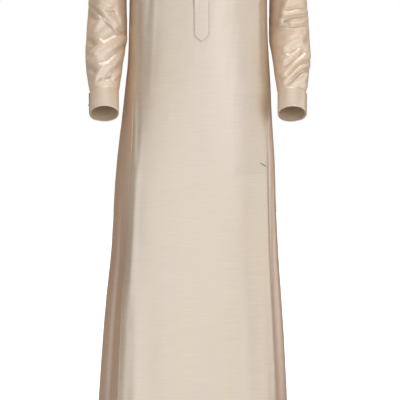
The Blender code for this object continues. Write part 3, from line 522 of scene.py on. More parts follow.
def ring_point(rings, side, turn, z, lift=0.0):
    """Points of tilted arm rings, whose centres are at heights z."""
    tilt = np.radians(read(rings, z, "tilt"))
    centre_y = read(rings, z, "y")
    out = (read(rings, z, "half_width") + lift) * np.cos(np.radians(turn))
    forward = (read(rings, z, "half_depth") + lift) * np.sin(np.radians(turn))
    x = read(rings, z, "x") + WRIST_SHIFT[side] * centre_y / WRIST_Y + out
    return vec(side * x, centre_y - forward * np.cos(tilt), z + forward * np.sin(tilt))


def armhole_angle(column):
    """Degrees round the body of an armhole column, from the shoulder tip by the front."""
    ends = [0, ARMHOLE_COLUMNS, ARMHOLE_COLUMNS + ARMPIT_COLUMNS, COLUMNS_ROUND]
    return np.interp(column, ends, [SHOULDER_END, ARMPIT_FRONT, ARMPIT_BACK, BACK_SHOULDER])


def sleeve_point(side, column, row):
    """Sleeve surface: rows up to CAP_ROWS make the cap, the rest run down the arm."""
    turn = 360.0 * column / COLUMNS_ROUND
    z = mix(UPPER_ARM_Z, SLEEVE_END_Z, np.clip((row - CAP_ROWS) / SLEEVE_ROWS, 0.0, 1.0))
    down = ring_point(SLEEVE_RINGS, side, turn, z)
    start, _, _ = top_edge(side * armhole_angle(column % COLUMNS_ROUND))
    end = ring_point(SLEEVE_RINGS, side, turn, UPPER_ARM_Z + 0.0 * z)
    below = ring_point(SLEEVE_RINGS, side, turn, UPPER_ARM_Z - 0.002 + 0.0 * z)
    reach = np.linalg.norm(end - start, axis=-1, keepdims=True)
    leave = [read(CAP, turn % 360.0, name) for name in ("out", "forward", "up")]
    pull = read(CAP, turn % 360.0, "pull")[..., None]
    leave = vec(side * leave[0], -leave[1], leave[2]) * reach * pull
    cap = hermite(start, end, leave, unit(below - end) * reach,
                  np.clip(row / CAP_ROWS, 0.0, 1.0)[..., None])
    return np.where((row >= CAP_ROWS)[..., None], down, cap)


def stroke_lift(strokes, x, z):
    """Lift of creases at places of the front view; each is steeper on its lower side."""
    lift = np.zeros_like(x)
    for stroke in strokes:
        points = np.array(stroke.points)
        nearest = np.full(x.shape, 1e9)
        best = np.zeros_like(x)
        count = len(points) - 1
        for i in range(count):
            a, run = points[i], points[i + 1] - points[i]
            t = ((x - a[0]) * run[0] + (z - a[1]) * run[1]) / run.dot(run)
            t = np.clip(t, 0.0, 1.0)
            away_x, away_z = x - a[0] - t * run[0], z - a[1] - t * run[1]
            distance = np.hypot(away_x, away_z)
            reach = stroke.reach * np.where(away_z < 0.0, 0.75, 1.20)
            share = mix(1.0, stroke.fade, (i + t) / count)
            value = share * np.exp(-((distance / reach) ** 2))
            best = np.where(distance < nearest, value, best)
            nearest = np.minimum(distance, nearest)
        lift += stroke.lift * best
    return lift


def ripple(u, v, scale, lift):
    """Faint unevenness of cloth that has been worn, from a few crossing waves."""
    total = 0.0
    for turn, wave, phase in ((0.3, 1.0, 0.0), (1.1, 1.7, 1.3), (2.2, 2.3, 4.1), (2.9, 3.1, 2.2)):
        along = u * math.cos(turn) + v * math.sin(turn)
        total = total + np.sin(along * wave / scale + phase + 1.7 * np.sin(along / scale * 0.31))
    return lift * total / 4.0


def grid_normals(points, centre):
    """Unit normals of a grid of points, pointing away from a centre line."""
    along_u = np.gradient(points, axis=0)
    along_v = np.gradient(points, axis=1)
    normals = unit(np.cross(along_u, along_v))
    flip = np.sign(np.sum(normals * (points - centre), axis=-1, keepdims=True).sum())
    return normals * (flip if flip else 1.0)


def grid_lengths(points, axis):
    """Length run along an axis of a grid, from its middle."""
    steps = np.linalg.norm(np.diff(points, axis=axis), axis=-1)
    pad = [(0, 0), (0, 0)]
    pad[axis] = (1, 0)
    total = np.cumsum(np.pad(steps, pad), axis=axis)
    middle = np.take(total, [total.shape[axis] // 2], axis=axis)
    return total - middle


def seam_edges(points, normals, first_u, last_u, first_v, last_v):
    """Press the flagged borders of a grid into a seam, and turn an allowance in behind each."""
    points = points.copy()
    flags = ((0, 0, first_u), (0, -1, last_u), (1, 0, first_v), (1, -1, last_v))
    for axis, end, flag in flags:
        if not flag:
            continue
        edge = (end, slice(None)) if axis == 0 else (slice(None), end)
        points[edge] -= normals[edge] * SEAM_PRESS
    for axis, end, flag in flags:
        if not flag:
            continue
        edge = (end, slice(None)) if axis == 0 else (slice(None), end)
        turned = points[edge] - normals[edge] * SEAM_ALLOWANCE
        extra = np.expand_dims(turned, axis)
        extra_normals = np.expand_dims(normals[edge], axis)
        parts = (extra, points) if end == 0 else (points, extra)
        normal_parts = (extra_normals, normals) if end == 0 else (normals, extra_normals)
        points = np.concatenate(parts, axis=axis)
        normals = np.concatenate(normal_parts, axis=axis)
    return points


def place(name, data):
    """New object, linked to the scene."""
    made = bpy.data.objects.new(name, data)
    bpy.context.scene.collection.objects.link(made)
    return made


def add_piece(name, points, material, node, thickness=SHELL, keep=None, painted_light_and_shade=None):
    """One cut piece of cloth, from its grid of points, in place of its solid."""
    count_u, count_v = points.shape[:2]
    index = np.arange(count_u * count_v).reshape(count_u, count_v)
    corners = np.stack([index[:-1, :-1], index[1:, :-1], index[1:, 1:], index[:-1, 1:]], axis=-1)
    corners = corners.reshape(-1, 4)
    if keep is not None:
        corners = corners[keep.reshape(-1)]
    uv = np.stack([grid_lengths(points, 0), grid_lengths(points, 1)], axis=-1)
    name += "_cloth"
    mesh = bpy.data.meshes.new(name)
    mesh.from_pydata(points.reshape(-1, 3).tolist(), [], corners.tolist())
    layer = mesh.uv_layers.new(name="cloth")
    layer.data.foreach_set("uv", uv.reshape(-1, 2)[corners.reshape(-1)].astype(np.float32).ravel())
    # Painted light and shade: a colour per point that the cloth's colour is multiplied by
    colour = mesh.color_attributes.new("painted_light_and_shade", "FLOAT_COLOR", "POINT")
    values = np.ones((count_u * count_v, 4), np.float32)
    if painted_light_and_shade is not None:
        values[:, :3] = painted_light_and_shade.reshape(-1, 1) ** np.array(SHADE_WARMTH)
    colour.data.foreach_set("color", values.ravel())
    close_mesh(mesh)
    mesh.materials.append(material)
    mesh.shade_smooth()
    piece = place(name, mesh)
    wall = piece.modifiers.new("wall", "SOLIDIFY")
    wall.thickness = thickness
    wall.offset = 0.0
    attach(piece, "root")
    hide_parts(node)


def close_mesh(mesh):
    """Drop loose points, and join those that meet."""
    work = bmesh.new()
    work.from_mesh(mesh)
    loose = [vert for vert in work.verts if not vert.link_faces]
    bmesh.ops.delete(work, geom=loose, context="VERTS")
    bmesh.ops.remove_doubles(work, verts=work.verts, dist=0.00002)
    bmesh.ops.recalc_face_normals(work, faces=work.faces)
    work.to_mesh(mesh)
    work.free()


class Graph:
    """Short way to add and link shader nodes."""

    def __init__(self, name):
        self.material = bpy.data.materials.new(name)
        self.material.use_nodes = True
        self.tree = self.material.node_tree
        self.shader = self.tree.nodes["Principled BSDF"]

    def add(self, kind, values=None, **settings):
        node = self.tree.nodes.new(kind)
        for key, value in settings.items():
            setattr(node, key, value)
        for key, value in (values or {}).items():
            node.inputs[key].default_value = value
        return node

    def link(self, output, target):
        self.tree.links.new(output, target)

    def noise(self, source, stretch, detail=3.0, roughness=0.55):
        """Noise on coordinates stretched by three factors."""
        mapping = self.add("ShaderNodeMapping", {"Scale": stretch})
        self.link(source, mapping.inputs["Vector"])
        noise = self.add("ShaderNodeTexNoise",
                         {"Scale": 1.0, "Detail": detail, "Roughness": roughness})
        self.link(mapping.outputs["Vector"], noise.inputs["Vector"])
        return noise.outputs["Fac"]

    def span(self, value, low, high, to_low, to_high):
        ranged = self.add("ShaderNodeMapRange", {"From Min": low, "From Max": high,
                                                 "To Min": to_low, "To Max": to_high})
        self.link(value, ranged.inputs["Value"])
        return ranged.outputs["Result"]

    def times(self, a, b):
        product = self.add("ShaderNodeMath", operation="MULTIPLY")
        self.link(a, product.inputs[0])
        self.link(b, product.inputs[1])
        return product.outputs[0]

    def total(self, a, b):
        result = self.add("ShaderNodeMath", operation="ADD")
        self.link(a, result.inputs[0])
        self.link(b, result.inputs[1])
        return result.outputs[0]

    def blend(self, value, low, high):
        """Colour between two, by a value."""
        ramp = self.add("ShaderNodeMix", data_type="RGBA")
        ramp.inputs[6].default_value = (*low, 1.0)
        ramp.inputs[7].default_value = (*high, 1.0)
        self.link(value, ramp.inputs["Factor"])
        return ramp.outputs[2]

    def multiply(self, first, second):
        """Product of two colours; the first may be given as numbers."""
        product = self.add("ShaderNodeMix", data_type="RGBA", blend_type="MULTIPLY")
        product.inputs["Factor"].default_value = 1.0
        if isinstance(first, tuple):
            product.inputs[6].default_value = (*first, 1.0)
        else:
            self.link(first, product.inputs[6])
        self.link(second, product.inputs[7])
        return product.outputs[2]

    def set(self, **values):
        """Values of the shader's own sockets, underscores for spaces."""
        for key, value in values.items():
            self.shader.inputs[key.replace("_", " ")].default_value = value


WARM_CAST = (1.02, 1.00, 0.94)
COOL_CAST = (0.975, 0.985, 1.055)


def cloth_material(name, colour, seed, roughness=0.42, sheen=0.05, ior=2.1):
    """Silky cloth with uneven weft threads.

    Coordinates are metres on the cloth, and noise has its waves a metre along and down them.
    """
    graph = Graph(name)
    source = graph.add("ShaderNodeUVMap", uv_map="cloth")
    mapped = graph.add("ShaderNodeMapping", {"Location": (seed * 0.37, seed * 0.71, seed)})
    graph.link(source.outputs["UV"], mapped.inputs["Vector"])
    cloth = mapped.outputs["Vector"]
    slubs = graph.noise(cloth, (16.0, 520.0, 1.0), detail=2.0)
    bands = graph.noise(cloth, (12.0, 330.0, 1.0), detail=2.0)
    warp = graph.noise(cloth, (900.0, 22.0, 1.0), detail=1.0)
    threads = graph.noise(cloth, (420.0, 2600.0, 1.0), detail=1.0)
    broad = graph.noise(cloth, (9.0, 7.0, 1.0), detail=2.0)
    hang = graph.noise(cloth, (17.0, 1.6, 1.0), detail=1.0)

    tone = graph.times(graph.span(slubs, 0.30, 0.70, 0.930, 1.045),
                       graph.span(bands, 0.30, 0.70, 0.945, 1.040))
    tone = graph.times(tone, graph.span(broad, 0.30, 0.70, 0.985, 1.015))
    tone = graph.times(tone, graph.span(warp, 0.30, 0.70, 0.985, 1.015))
    # The piece's painted light and shade, multiplied into its colour
    painted_light_and_shade = graph.add("ShaderNodeVertexColor", layer_name="painted_light_and_shade")
    base = graph.multiply(colour, painted_light_and_shade.outputs["Color"])
    cast = graph.blend(graph.span(hang, 0.35, 0.65, 0.0, 1.0), WARM_CAST, COOL_CAST)
    shade = graph.add("ShaderNodeVectorMath", operation="SCALE")
    graph.link(graph.multiply(base, cast), shade.inputs[0])
    graph.link(tone, shade.inputs["Scale"])
    graph.link(shade.outputs[0], graph.shader.inputs["Base Color"])

    rough = graph.span(slubs, 0.30, 0.70, roughness - 0.04, roughness + 0.05)
    graph.link(rough, graph.shader.inputs["Roughness"])
    height = graph.total(graph.span(slubs, 0.0, 1.0, 0.0, 0.6),
                         graph.span(threads, 0.0, 1.0, 0.0, 0.4))
    bump = graph.add("ShaderNodeBump", {"Strength": 0.30, "Distance": 0.00022})
    graph.link(height, bump.inputs["Height"])
    graph.link(bump.outputs["Normal"], graph.shader.inputs["Normal"])
    graph.set(Specular_IOR_Level=1.0, IOR=ior, Sheen_Weight=sheen, Sheen_Roughness=0.45,
              Sheen_Tint=(1.0, 0.95, 0.90, 1.0))
    return graph.material


def finer(stops, counts, edge_first=False, edge_last=False):
    """Values through stops, each interval in a count of steps, with two close ones at an end."""
    values = [stops[0]]
    for start, end, count in zip(stops[:-1], stops[1:], counts):
        values += [mix(start, end, (i + 1) / count) for i in range(count)]
    if edge_first:
        step = values[1] - values[0]
        values[1:1] = [values[0] + step * 0.25, values[0] + step * 0.6]
    if edge_last:
        step = values[-1] - values[-2]
        values[-1:-1] = [values[-1] - step * 0.6, values[-1] - step * 0.25]
    return np.array(values)


def seam_angle(level, field):
    return read(SIDE_SEAMS, BODICE_Z + np.minimum(level, 0.0), field)


def skirt_levels():
    return finer([HEM_Z - BODICE_Z, GUSSET_Z - BODICE_Z, 0.0], [222, 18])


def panel_levels():
    """Levels of a long panel, with close rows at the neck seam."""
    return np.concatenate([skirt_levels(), finer([0.0, 1.0], [52], edge_last=True)[1:]])


def body_lift(points, normals):
    """Lift of the body's creases where its surface looks forward or back."""
    x, z = points[..., 0], points[..., 2]
    front = smoothstep((-normals[..., 1] + 0.05) / 0.35)
    back = smoothstep((normals[..., 1] + 0.05) / 0.35)
    lift = stroke_lift(BODY_FRONT, x, z) * front + stroke_lift(BODY_BACK, x, z) * back
    fade = smoothstep((-0.02 - z) / 0.08)
    return lift * fade + ripple(x + points[..., 1], z, 0.018, 0.00030)


def dress(points, centre=(0.0, 0.0), lift=None):
    """Grid moved out by its creases; returns the points and their normals."""
    axis = vec(centre[0], centre[1], points[..., 2])
    normals = grid_normals(points, axis)
    amount = body_lift(points, normals) if lift is None else lift(points, normals)
    moved = points + normals * amount[..., None]
    return moved, grid_normals(moved, axis)


def mouth(level, share):
    """Share of a front angle that is left where the pocket mouth stands open."""
    middle = (POCKET_TOP_Z + POCKET_MOUTH_END_Z) / 2.0
    half = (POCKET_TOP_Z - POCKET_MOUTH_END_Z) / 2.0
    ease = np.maximum(0.0, 1.0 - ((BODICE_Z + level - middle) / half) ** 2)
    return 1.0 - MOUTH_EASE * ease * share**MOUTH_POWER


def front_painted_shade(points):
    """Painted shade: darker over the pocket bags, a painted shadow in the slit beside the placket, and
    painted shade down the left edge.
    """
    x, z = points[..., 0], points[..., 2]
    below = smoothstep((POCKET_TOP_Z + 0.012 - z) / 0.010) * smoothstep((z - POCKET_BOTTOM_Z) / 0.006)
    bags = 0.0
    for side in SIDES.values():
        bags = bags + BAG_SHADE[side] * smoothstep((side * x - BAG_FOLD_X[side]) / 0.012) * below
    beside = (x + PLACKET_HALF_WIDTH + 0.0003) / SLIT_HALF_WIDTH
    slit = SLIT_SHADE * np.exp(-(beside**2)) * smoothstep((z - SLIT_END_Z) / 0.01)
    strip = smoothstep((STRIP_X - x) / 0.012) * smoothstep((STRIP_TOP_Z - z) / 0.12)
    return (1.0 - bags) * (1.0 - slit) * (1.0 - STRIP_SHADE * strip)


def make_front(material):
    half = finer([SLOT_ANGLE, PLACKET_ANGLE_BASE, NECK_END, SHOULDER_END, ARMPIT_FRONT],
                 [2, 14, 17, 27], edge_last=True)
    slot = finer([-SLOT_ANGLE, SLOT_ANGLE], [4])
    angles = np.concatenate([-half[::-1][:-1], slot, half[1:]])
    share, level = np.meshgrid(angles / ARMPIT_FRONT, panel_levels(), indexing="ij")
    angle = share * seam_angle(level, "front") * mouth(level, np.abs(share))
    points, normals = dress(garment_point(angle, level))
    # Painted shade over the bags, in the placket slit and down the left edge
    painted_light_and_shade = front_painted_shade(points)
    cell_angle = (angles[:-1] + angles[1:]) / 2.0
    cell_level = (panel_levels()[:-1] + panel_levels()[1:]) / 2.0
    in_slot = (np.abs(cell_angle) < SLOT_ANGLE)[:, None]
    keep = ~(in_slot & (cell_level > GUSSET_Z - BODICE_Z)[None, :])
    seamed = seam_edges(points, normals, True, True, False, True)
    pads = ((1, 1), (0, 1))
    keep = np.pad(keep, pads, mode="edge")
    painted_light_and_shade = np.pad(painted_light_and_shade, pads, mode="edge")
    add_piece("front", seamed, material, "front_panel",
              keep=keep, painted_light_and_shade=painted_light_and_shade)


def make_back(material):
    half = finer([ARMPIT_BACK, BACK_SHOULDER, BACK_NECK, 180.0], [34, 16, 14], edge_first=True)
    angles = np.concatenate([half, 360.0 - half[::-1][1:]])
    share = (180.0 - angles) / (180.0 - ARMPIT_BACK)
    share, level = np.meshgrid(share, panel_levels(), indexing="ij")
    angle = 180.0 - share * (180.0 - seam_angle(level, "back"))
    points, normals = dress(garment_point(angle, level))
    add_piece("back", seam_edges(points, normals, True, True, False, True), material,
              "back_panel")


def make_gore(name, side, material):
    levels = finer([HEM_Z - BODICE_Z, GUSSET_Z - BODICE_Z], [222], edge_last=True)
    shares = finer([0.0, 1.0], [30], edge_first=True, edge_last=True)
    share, level = np.meshgrid(shares, levels, indexing="ij")
    angle = side * mix(seam_angle(level, "front"), seam_angle(level, "back"), share)
    points, normals = dress(garment_point(angle, level))
    points = seam_edges(points, normals, True, True, False, True)
    # Painted shade, darker towards the hem
    painted_light_and_shade = 1.0 - GORE_SHADE * smoothstep((GORE_SHADE_TOP_Z - points[..., 2]) / 0.30)
    add_piece("gore_" + name, points, material, "gore_" + name, painted_light_and_shade=painted_light_and_shade)


def gusset_row(column):
    """Sleeve row where the gusset ends at a column."""
    half = ARMPIT_COLUMNS / 2.0
    place = np.abs(column - ARMHOLE_COLUMNS - half)
    return GUSSET_TIP_ROW * np.clip(1.0 - place / half, 0.0, 1.0)


def make_gusset(name, side, material):
    shares = finer([0.0, 1.0], [30], edge_first=True, edge_last=True)
    levels = finer([GUSSET_Z - BODICE_Z, 0.0, 1.0], [18, 22], edge_first=True)
    share, level = np.meshgrid(shares, levels, indexing="ij")
    angle = side * mix(seam_angle(level, "front"), seam_angle(level, "back"), share)
    below = garment_point(angle, level)
    steps = finer([0.0, 1.0], [18], edge_last=True)[1:]
    share, step = np.meshgrid(shares, steps, indexing="ij")
    column = ARMHOLE_COLUMNS + share * ARMPIT_COLUMNS
    above = sleeve_point(side, column, step * gusset_row(column))
    points = np.concatenate([below, above], axis=1)
    centre = (side * 0.12, 0.0)
    points, _ = dress(points, centre, lambda p, n: ripple(p[..., 0], p[..., 1], 0.012, 0.0004))
    add_piece("gusset_" + name, points, material, "gusset_" + name)


def sleeve_lift(side):
    def lift(points, normals):
        x, z = points[..., 0], points[..., 2]
        front = smoothstep((-normals[..., 1] + 0.25) / 0.5)
        back = smoothstep((normals[..., 1] + 0.25) / 0.5)
        amount = stroke_lift(SLEEVE_FRONT[side], x, z) * front
        amount = amount + stroke_lift(SLEEVE_BACK[side], x, z) * back
        amount = amount * (1.0 - 0.8 * normals[..., 0] ** 2)
        amount = amount * smoothstep((-0.27 - z) / 0.05) * SLEEVE_CREASE
        return amount + ripple(x * 1.4 + points[..., 1], z, 0.011, 0.00045)
    return lift


def make_sleeve(name, side, material):
    last = CAP_ROWS + SLEEVE_ROWS
    columns = finer([SLIT_COLUMN, SLIT_COLUMN + COLUMNS_ROUND], [132])
    steps = finer([0.0, 1.0], [190], edge_first=True, edge_last=True)
    column, step = np.meshgrid(columns, steps, indexing="ij")
    start = gusset_row(column % COLUMNS_ROUND)
    row = mix(start, last, step)
    points = sleeve_point(side, column, row)
    z = points[..., 2]
    centre = vec(side * read(SLEEVE_RINGS, z, "x"), read(SLEEVE_RINGS, z, "y"), z)
    normals = grid_normals(points, centre)
    end_fade = smoothstep((last - row) / 1.2)
    lift = sleeve_lift(side)(points, normals) * end_fade
    points = points + normals * lift[..., None]
    normals = grid_normals(points, centre)
    opening = SLIT_GAP * smoothstep((SLIT_TOP_Z - z) / 0.012)
    for end, toward in ((0, 1), (-1, -2)):
        away = unit(points[toward] - points[end])
        points[end] += away * (opening[end] / 2.0)[:, None]
    # Painted shade in the creases and painted highlight on the ridges, from their lift
    shade = np.clip(1.0 + FOLD_SHADE * lift, *FOLD_SHADE_RANGE)
    shade = np.pad(shade, ((0, 0), (1, 1)), mode="edge")
    points = seam_edges(points, normals, False, False, True, True)
    add_piece("sleeve_" + name, points, material, "sleeve_" + name, painted_light_and_shade=shade)


def slit_turn():
    return 360.0 * SLIT_COLUMN / COLUMNS_ROUND


def cuff_ends():
    return slit_turn() - CUFF_PAST_SLIT, slit_turn() + 360.0 + CUFF_OVERLAP


def cuff_lift(turn):
    past = turn - slit_turn() - 360.0
    return CUFF_LAP * smoothstep((past + CUFF_OVERLAP) / CUFF_OVERLAP)


def cuff_surface(side, turn, share, lift=0.0):
    """Cuff surface: share 0 at its top seam, 1 at its edge."""
    z = mix(SLEEVE_END_Z, CUFF_END_Z, share)
    return ring_point(CUFF_RINGS, side, turn, z, cuff_lift(turn) + lift)


def band_profile(shares, full, edge):
    """Lift of a stitched band: full in the middle and pressed down at both edges."""
    return full * (1.0 - np.exp(-(np.minimum(shares, 1.0 - shares) / edge) ** 2))


def make_cuff(name, side, material):
    turns = finer(cuff_ends(), [128])
    shares = finer([0.0, 0.07, 0.93, 1.0], [4, 16, 4])
    turn, share = np.meshgrid(turns, shares, indexing="ij")
    lift = band_profile(share, 0.0006, 0.05)
    points = cuff_surface(side, turn, share, lift)
    add_piece("cuff_" + name, points, material, "cuff_" + name,
              thickness=BAND_CLOTH * 0.9)


def collar_point(turn, height, extra=0.0):
    """Collar band points, by degrees round the neck and height share."""
    lap = COLLAR_LAP * smoothstep((-turn - COLLAR_LAP_START) / COLLAR_LAP_RUN)
    edge = neck_point(turn)
    outward = unit(vec(edge[..., 0] / NECK_HALF_WIDTH, (edge[..., 1] - NECK_Y) / NECK_DEPTH, 0.0))
    lean = lap + extra - COLLAR_LEAN * height
    lift = mix(COLLAR_LIFT_FRONT, COLLAR_LIFT_SIDE, np.abs(outward[..., 0]))
    up = vec(0.0, 0.0, lift + COLLAR_HEIGHT * height)
    return edge + outward * lean[..., None] + up


def make_collar(material):
    turns = finer([COLLAR_UNDER_END, COLLAR_OVER_END], [150])
    heights = finer([0.0, 0.1, 0.9, 1.0], [4, 10, 4])
    turn, height = np.meshgrid(turns, heights, indexing="ij")
    points = collar_point(turn, height, band_profile(height, 0.0005, 0.07))
    add_piece("collar", points, material, "collar",
              thickness=BAND_CLOTH * 0.9)


def strip_surface(share, half_width, level, lift):
    """Strip at centre front, share -1 to 1 across its half width."""
    scale = half_width / PLACKET_HALF_WIDTH
    above = share * scale * mix(PLACKET_ANGLE_BASE, PLACKET_ANGLE_TOP, np.clip(level, 0.0, 1.0))
    z = BODICE_Z + np.minimum(level, 0.0)
    wide = share * half_width / read(SECTIONS, z, "half_width")
    square = read(SECTIONS, z, "square")
    below = np.degrees(np.arcsin(signed_power(wide, square / 2.0)))
    angle = np.where(level > 0.0, above, below)
    point = garment_point(angle, level)
    step = np.where(level > 0.0, np.minimum(0.01, np.maximum(1.0 - level, 0.002)), 0.004)
    along_u = garment_point(angle + 0.5, level) - garment_point(angle - 0.5, level)
    along_v = garment_point(angle, level + step) - garment_point(angle, level - step)
    normal = unit(np.cross(along_u, along_v))
    return point + normal * np.asarray(lift)[..., None]


OVER_LIFT = (CLOTH + BAND_CLOTH) / 2.0 + LAYER_GAP
UNDER_LIFT = -CLOTH - 2.0 * LAYER_GAP
OPEN_LIFT = 0.0022


def strip_levels(end_z, shoulder_z, share):
    """Levels down to a pointed or straight end, for shares across."""
    point = mix(end_z, shoulder_z, np.abs(share)) - BODICE_Z
    steps = finer([0.0, 1.0], [26])
    body = finer([shoulder_z - BODICE_Z, 0.0, PLACKET_TOP], [30, 60])[1:]
    low = point[:, None] + (shoulder_z - BODICE_Z - point[:, None]) * steps[None, :]
    return np.concatenate([low, np.broadcast_to(body, (len(share), len(body)))], axis=1)


def open_edge(share, level):
    """Lift of the placket's left edge, which stands open above its end."""
    return OPEN_LIFT * smoothstep((level + 0.035) / 0.03) * smoothstep((-0.55 - share) / 0.45)


def make_placket(over_material, under_material):
    shares = finer([-1.0, -0.86, 0.86, 1.0], [4, 16, 4])
    level = strip_levels(PLACKET_TIP_Z, PLACKET_SHOULDER_Z, shares)
    share = np.broadcast_to(shares[:, None], level.shape)
    edge = band_profile((share + 1.0) / 2.0, 0.0006, 0.04)
    lift = OVER_LIFT + edge + open_edge(share, level)
    points = strip_surface(share, PLACKET_HALF_WIDTH, level, lift)
    # Painted shade along the strip's sides and above its point
    rim_shade_mask = np.maximum(smoothstep((np.abs(share) - 0.88) / 0.06),
                     smoothstep((0.0028 - level + level[:, :1]) / 0.0012))
    add_piece("placket_over", points, over_material, "placket_over",
              thickness=BAND_CLOTH * 0.9, painted_light_and_shade=1.0 - RIM_SHADE * rim_shade_mask)
    level = strip_levels(UNDERLAP_END_Z, UNDERLAP_END_Z + 0.002, shares)
    share = np.broadcast_to(shares[:, None], level.shape)
    points = strip_surface(share, UNDERLAP_HALF_WIDTH, level, UNDER_LIFT + 0.0 * level)
    add_piece("placket_under", points, under_material, "placket_under")


def make_pocket(name, side, material):
    """Pocket bag: a layer behind the front from the mouth to its fold, and a layer back."""
    near = -(CLOTH + POCKET_CLOTH) / 2.0 - 3.0 * LAYER_GAP
    across = finer([0.0, 1.0], [30])
    place = np.concatenate([across, across[::-1][1:]])
    back_layer = np.concatenate([np.zeros(len(across)), np.ones(len(across) - 1)])
    depth = near - POCKET_LAYER_GAP * smoothstep((1.0 - place) / 0.10) * back_layer
    depth = depth - POCKET_LAYER_GAP * 0.5 * smoothstep((place - 0.9) / 0.1)
    zs = finer([POCKET_TOP_Z, POCKET_BOTTOM_Z], [48])
    place, z = np.meshgrid(place, zs, indexing="ij")
    level = z - BODICE_Z
    edge = seam_angle(level, "front") - POCKET_SETBACK
    angle = side * (edge - POCKET_TURN * place)
    point = garment_point(angle, level)
    along_u = garment_point(angle + 0.5, level) - garment_point(angle - 0.5, level)
    along_v = garment_point(angle, level + 0.004) - garment_point(angle, level - 0.004)
    normal = unit(np.cross(along_u, along_v))
    points = point + normal * depth[:, None, None]
    add_piece("pocket_" + name, points, material, "pocket_" + name,
              thickness=0.0007)


# Sewing: length, gap and half thickness of a stitch
STITCH_LENGTH = 0.0021
STITCH_PITCH = 0.0028
STITCH_RADIUS = 0.00021
STITCH_SIDES = 5


def resample(line, pitch):
    """Points along a line at an even pitch."""
    steps = np.linalg.norm(np.diff(line, axis=0), axis=1)
    run = np.concatenate([[0.0], np.cumsum(steps)])
    count = max(int(run[-1] / pitch), 1)
    at = (np.arange(count) + 0.5) * run[-1] / count
    return np.stack([np.interp(at, run, line[:, i]) for i in range(3)], axis=1), at, run


def stitch_mesh(lines):
    """Vertices and faces of all stitches along lines of (points, normals)."""
    ring_at = np.array([-0.5, -0.30, 0.30, 0.5]) * STITCH_LENGTH
    ring_size = np.array([0.25, 1.0, 1.0, 0.25]) * STITCH_RADIUS
    turns = np.arange(STITCH_SIDES) * 2.0 * math.pi / STITCH_SIDES
    verts, faces = [], []
    base = 0
    for points, normals in lines:
        centres, at, run = resample(points, STITCH_PITCH)
        ups = unit(np.stack([np.interp(at, run, normals[:, i]) for i in range(3)], axis=1))
        ahead = np.stack([np.interp(at + 0.0008, run, points[:, i]) for i in range(3)], axis=1)
        behind = np.stack([np.interp(at - 0.0008, run, points[:, i]) for i in range(3)], axis=1)
        runs = unit(ahead - behind)
        sides = unit(np.cross(runs, ups))
        ups = np.cross(sides, runs)
        for centre, run_dir, side_dir, up_dir in zip(centres, runs, sides, ups):
            for place, size in zip(ring_at, ring_size):
                sink = STITCH_RADIUS * 0.4 - (abs(place) / STITCH_LENGTH) * STITCH_RADIUS
                for turn in turns:
                    verts.append(centre + run_dir * place + up_dir * (sink + size * math.sin(turn))
                                 + side_dir * size * math.cos(turn))
            for ring in range(3):
                for i in range(STITCH_SIDES):
                    j = (i + 1) % STITCH_SIDES
                    a = base + ring * STITCH_SIDES
                    faces.append((a + i, a + j, a + STITCH_SIDES + j, a + STITCH_SIDES + i))
            faces.append(tuple(base + i for i in range(STITCH_SIDES))[::-1])
            faces.append(tuple(base + 3 * STITCH_SIDES + i for i in range(STITCH_SIDES)))
            base += 4 * STITCH_SIDES
    return verts, faces


def add_stitches(name, lines, material):
    verts, faces = stitch_mesh(lines)
    mesh = bpy.data.meshes.new(name)
    mesh.from_pydata([tuple(v) for v in verts], [], faces)
    mesh.materials.append(material)
    mesh.shade_smooth()
    piece = place(name, mesh)
    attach(piece, "root")


def grained_material(name, colours, grain, detail=1.0, low=0.0, high=1.0, **sockets):
    """Two mixed colours by fine noise in the object's own coordinates."""
    graph = Graph(name)
    coords = graph.add("ShaderNodeTexCoord")
    value = graph.noise(coords.outputs["Object"], grain, detail=detail)
    value = graph.span(value, low, high, 0.0, 1.0)
    graph.link(graph.blend(value, *colours), graph.shader.inputs["Base Color"])
    graph.set(**sockets)
    return graph.material


def thread_material():
    return grained_material("thread", THREAD_COLOURS, (2500.0, 2500.0, 2500.0),
                            Roughness=0.45, Sheen_Weight=0.3)


# Places of the stitch lines on the bands, and their height over a band's middle
BAND_HALF = BAND_CLOTH * 0.45
PLACKET_INSET = 0.0022
TIP_GAP = 0.0030
CUFF_ROWS = (0.055, 0.925)
CUFF_END_GAP = 3.5
COLLAR_ROWS = (0.075, 0.915)
HEM_DEPTH = 0.022


def sew_placket(thread):
    """One line round the strip's sides and point, and one across above the point."""
    inset = 1.0 - PLACKET_INSET / PLACKET_HALF_WIDTH
    upward = np.linspace(PLACKET_SHOULDER_Z - BODICE_Z, 0.0, 40).tolist()
    upward += np.linspace(0.0, PLACKET_TOP - 0.01, 120).tolist()[1:]
    across = np.linspace(-inset, inset, 41)[1:-1].tolist()
    shares = np.array([-inset] * len(upward) + across + [inset] * len(upward))
    tip = mix(PLACKET_TIP_Z + TIP_GAP, PLACKET_SHOULDER_Z + TIP_GAP * 0.3, np.abs(shares) / inset)
    levels = np.concatenate([upward[::-1], (tip - BODICE_Z)[len(upward):-len(upward)], upward])
    bar = np.linspace(-inset, inset, 20)
    bar_level = 0.0 * bar + PLACKET_SHOULDER_Z - BODICE_Z + 0.002
    lines = []
    for share, level in ((shares, levels), (bar, bar_level)):
        lift = OVER_LIFT + BAND_HALF + 0.0006 + open_edge(share, level)
        points = strip_surface(share, PLACKET_HALF_WIDTH, level, lift)
        lines.append((points, np.broadcast_to(FORWARD, points.shape)))
    add_stitches("placket_stitches", lines, thread)


